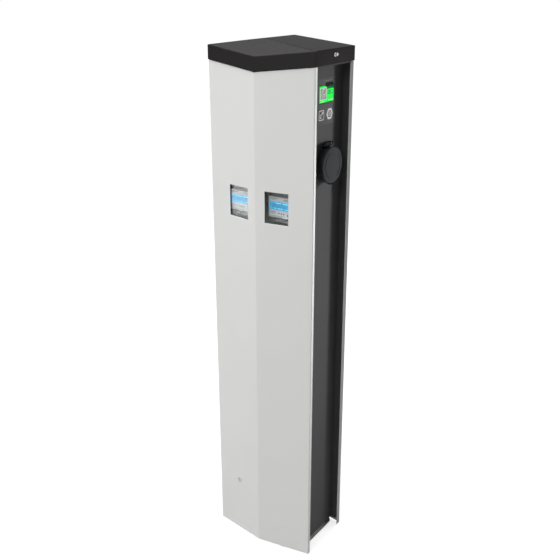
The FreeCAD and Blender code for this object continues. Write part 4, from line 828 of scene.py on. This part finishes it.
def figureRows():
    # a row of noughts in seven strokes with the middle one left out
    c = meter
    w, h, t = c["figureWidth"], c["figureHeight"], c["stroke"]
    z = c["figuresLow"]
    rows = []
    for x in c["figuresLeft"] + c["figureStep"] * np.arange(c["figures"]):
        rows += [(x, x + t, z, z + h), (x + w - t, x + w, z, z + h),
                 (x + t, x + w - t, z, z + t), (x + t, x + w - t, z + h - t, z + h)]
    return rows


def faceMarks(name, rows, across, middle, proud, slot, material):
    # thin boxes on the front face of a meter
    rows = np.asarray(rows, float) + (across, across, middle, middle)
    level = np.ones(len(rows)) * meter["front"]
    low = np.stack([rows[:, 0], level - proud, rows[:, 2]], 1)
    high = np.stack([rows[:, 1], level + meter["sunk"], rows[:, 3]], 1)
    points, faces = boxes(low, high)
    piece = meshPiece(name, points * mm, faces, [material], smooth=False)
    return finished(piece, "post", slot)


for side, way in sides.items():
    c = meter
    x, z, proud = way * c["across"], c["displayMiddle"], c["printProud"]
    faceMarks("meterFigures_" + side, figureRows() + c["bars"], x, z, proud, "meter_lens", displayDark)
    faceMarks("meterGlow_" + side, c["glow"], x, z, proud, "meter_lens", displayPale)
    faceMarks("meterPrint_" + side, c["print"], x, 0, proud, "device_grey", inkDark)
    faceMarks("meterRims_" + side, c["rims"], x, 0, c["rimProud"], "device_grey", deviceGrey)
print("meters drawn")

ground = {"half": 14, "low": -0.05, "high": -0.0002, "lift": 0.75}  # metres; the lift is a strength
floorMaterial = coated("floorPale", (0.38, 0.38, 0.378), 0.7, clouds=0.008, fine=900, bump=0.02,
                       specular=0.1)
floorTree = floorMaterial.node_tree
floorRays = floorTree.nodes.new("ShaderNodeLightPath")
floorShader = floorTree.nodes["Principled BSDF"]
floorShader.inputs["Emission Color"].default_value = (1, 1, 1, 1)
floorTree.links.new(maths(floorTree, "MULTIPLY", floorRays.outputs["Is Camera Ray"], ground["lift"]),
                    floorShader.inputs["Emission Strength"])  # lifts the floor to the backdrop's white
points, faces = boxes((-ground["half"], -ground["half"], ground["low"]),
                      (ground["half"], ground["half"], ground["high"]))
floor = meshPiece("floor", points, faces, [floorMaterial], smooth=False)

# the camera sees a white backdrop, and everything else gets only its faint light
backdrop = {"seen": 1.0, "light": 0.055}
world = bpy.data.worlds.new("studio")
bpy.context.scene.world = world
world.use_nodes = True
tree = world.node_tree
seen = tree.nodes["Background"]
shine = tree.nodes.new("ShaderNodeBackground")
for node, strength in ((seen, backdrop["seen"]), (shine, backdrop["light"])):
    node.inputs["Color"].default_value = (1, 1, 1, 1)
    node.inputs["Strength"].default_value = strength
rays = tree.nodes.new("ShaderNodeLightPath")
either = tree.nodes.new("ShaderNodeMixShader")
tree.links.new(rays.outputs["Is Camera Ray"], either.inputs[0])
tree.links.new(shine.outputs[0], either.inputs[1])
tree.links.new(seen.outputs[0], either.inputs[2])
tree.links.new(either.outputs[0], tree.nodes["World Output"].inputs["Surface"])

# soft lights: place and aim in metres, width and height in metres, power in watts, and whether
# they are mirrored in glass and foil
lights = {
    "keyLight": ((0.15, -3.0, 3.0), (0, 0, 0.85), 1.6, 1.6, 53, True),
    "leftCard": ((-2.6, -1.9, 0.25), (0, 0, 0.35), 1.4, 1.6, 27, False),
    "rightRearLight": ((0.85, 1.45, 1.12), (0.1, 0, 0.98), 0.2, 0.4, 10.5, False),
    "rearSoft": ((0.2, 3.0, 1.35), (0, 0, 0.8), 1.6, 1.2, 34, False),
    "backLight": ((-1.75, 2.3, 2.2), (0, 0, 1.4), 1.6, 1.6, 3, True),
    "roofCard": ((-1.16, -0.24, 3.3), (0, 0, 1.45), 1.1, 1.1, 9, True),
}
rearSpread = 76  # degrees, of rightRearLight
topLight = {"from": (-0.25, -0.45, 2.0), "strength": 2.4, "spread": 30}


def aimed(thing, place, aim):
    thing.location = place
    thing.rotation_euler = (Vector(aim) - Vector(place)).to_track_quat("-Z", "Y").to_euler()
    bpy.context.scene.collection.objects.link(thing)
    return thing


def softLight(name, place, aim, width, height, power, mirrored):
    light = bpy.data.lights.new(name, "AREA")
    light.shape = "RECTANGLE"
    light.size = width
    light.size_y = height
    light.energy = power
    lamp = aimed(bpy.data.objects.new(name, light), place, aim)
    lamp.visible_glossy = mirrored
    return lamp


lamps = {name: softLight(name, *values) for name, values in lights.items()}
rearLight = lamps["rightRearLight"]
rearLight.data.spread = math.radians(rearSpread)
spared = bpy.data.collections.new("sparedByRearLight")  # so close behind, it would bleach the rear cover
for piece in (rearCover, rearFittings):
    spared.objects.link(piece)
rearLight.light_linking.receiver_collection = spared
for entry in spared.collection_objects:
    entry.light_linking.link_state = "EXCLUDE"
sun = bpy.data.lights.new("topLight", "SUN")
sun.energy = topLight["strength"]
sun.angle = math.radians(topLight["spread"])
aimed(bpy.data.objects.new("topLight", sun), topLight["from"], (0, 0, 0))

view = {"place": (1.186, -1.734, 1.622), "way": (-0.5271, 0.7691, -0.3615), "lens": 51.97,
        "sensor": 36, "near": 0.05, "far": 60}
camera = bpy.data.cameras.new("camera")
camera.lens = view["lens"]
camera.sensor_width = view["sensor"]
camera.clip_start = view["near"]
camera.clip_end = view["far"]
eye = bpy.data.objects.new("camera", camera)
bpy.context.scene.collection.objects.link(eye)
eye.location = view["place"]
eye.rotation_euler = Vector(view["way"]).to_track_quat("-Z", "Y").to_euler()
bpy.context.scene.camera = eye
bpy.context.scene.view_settings.view_transform = "Standard"

print("scene done")
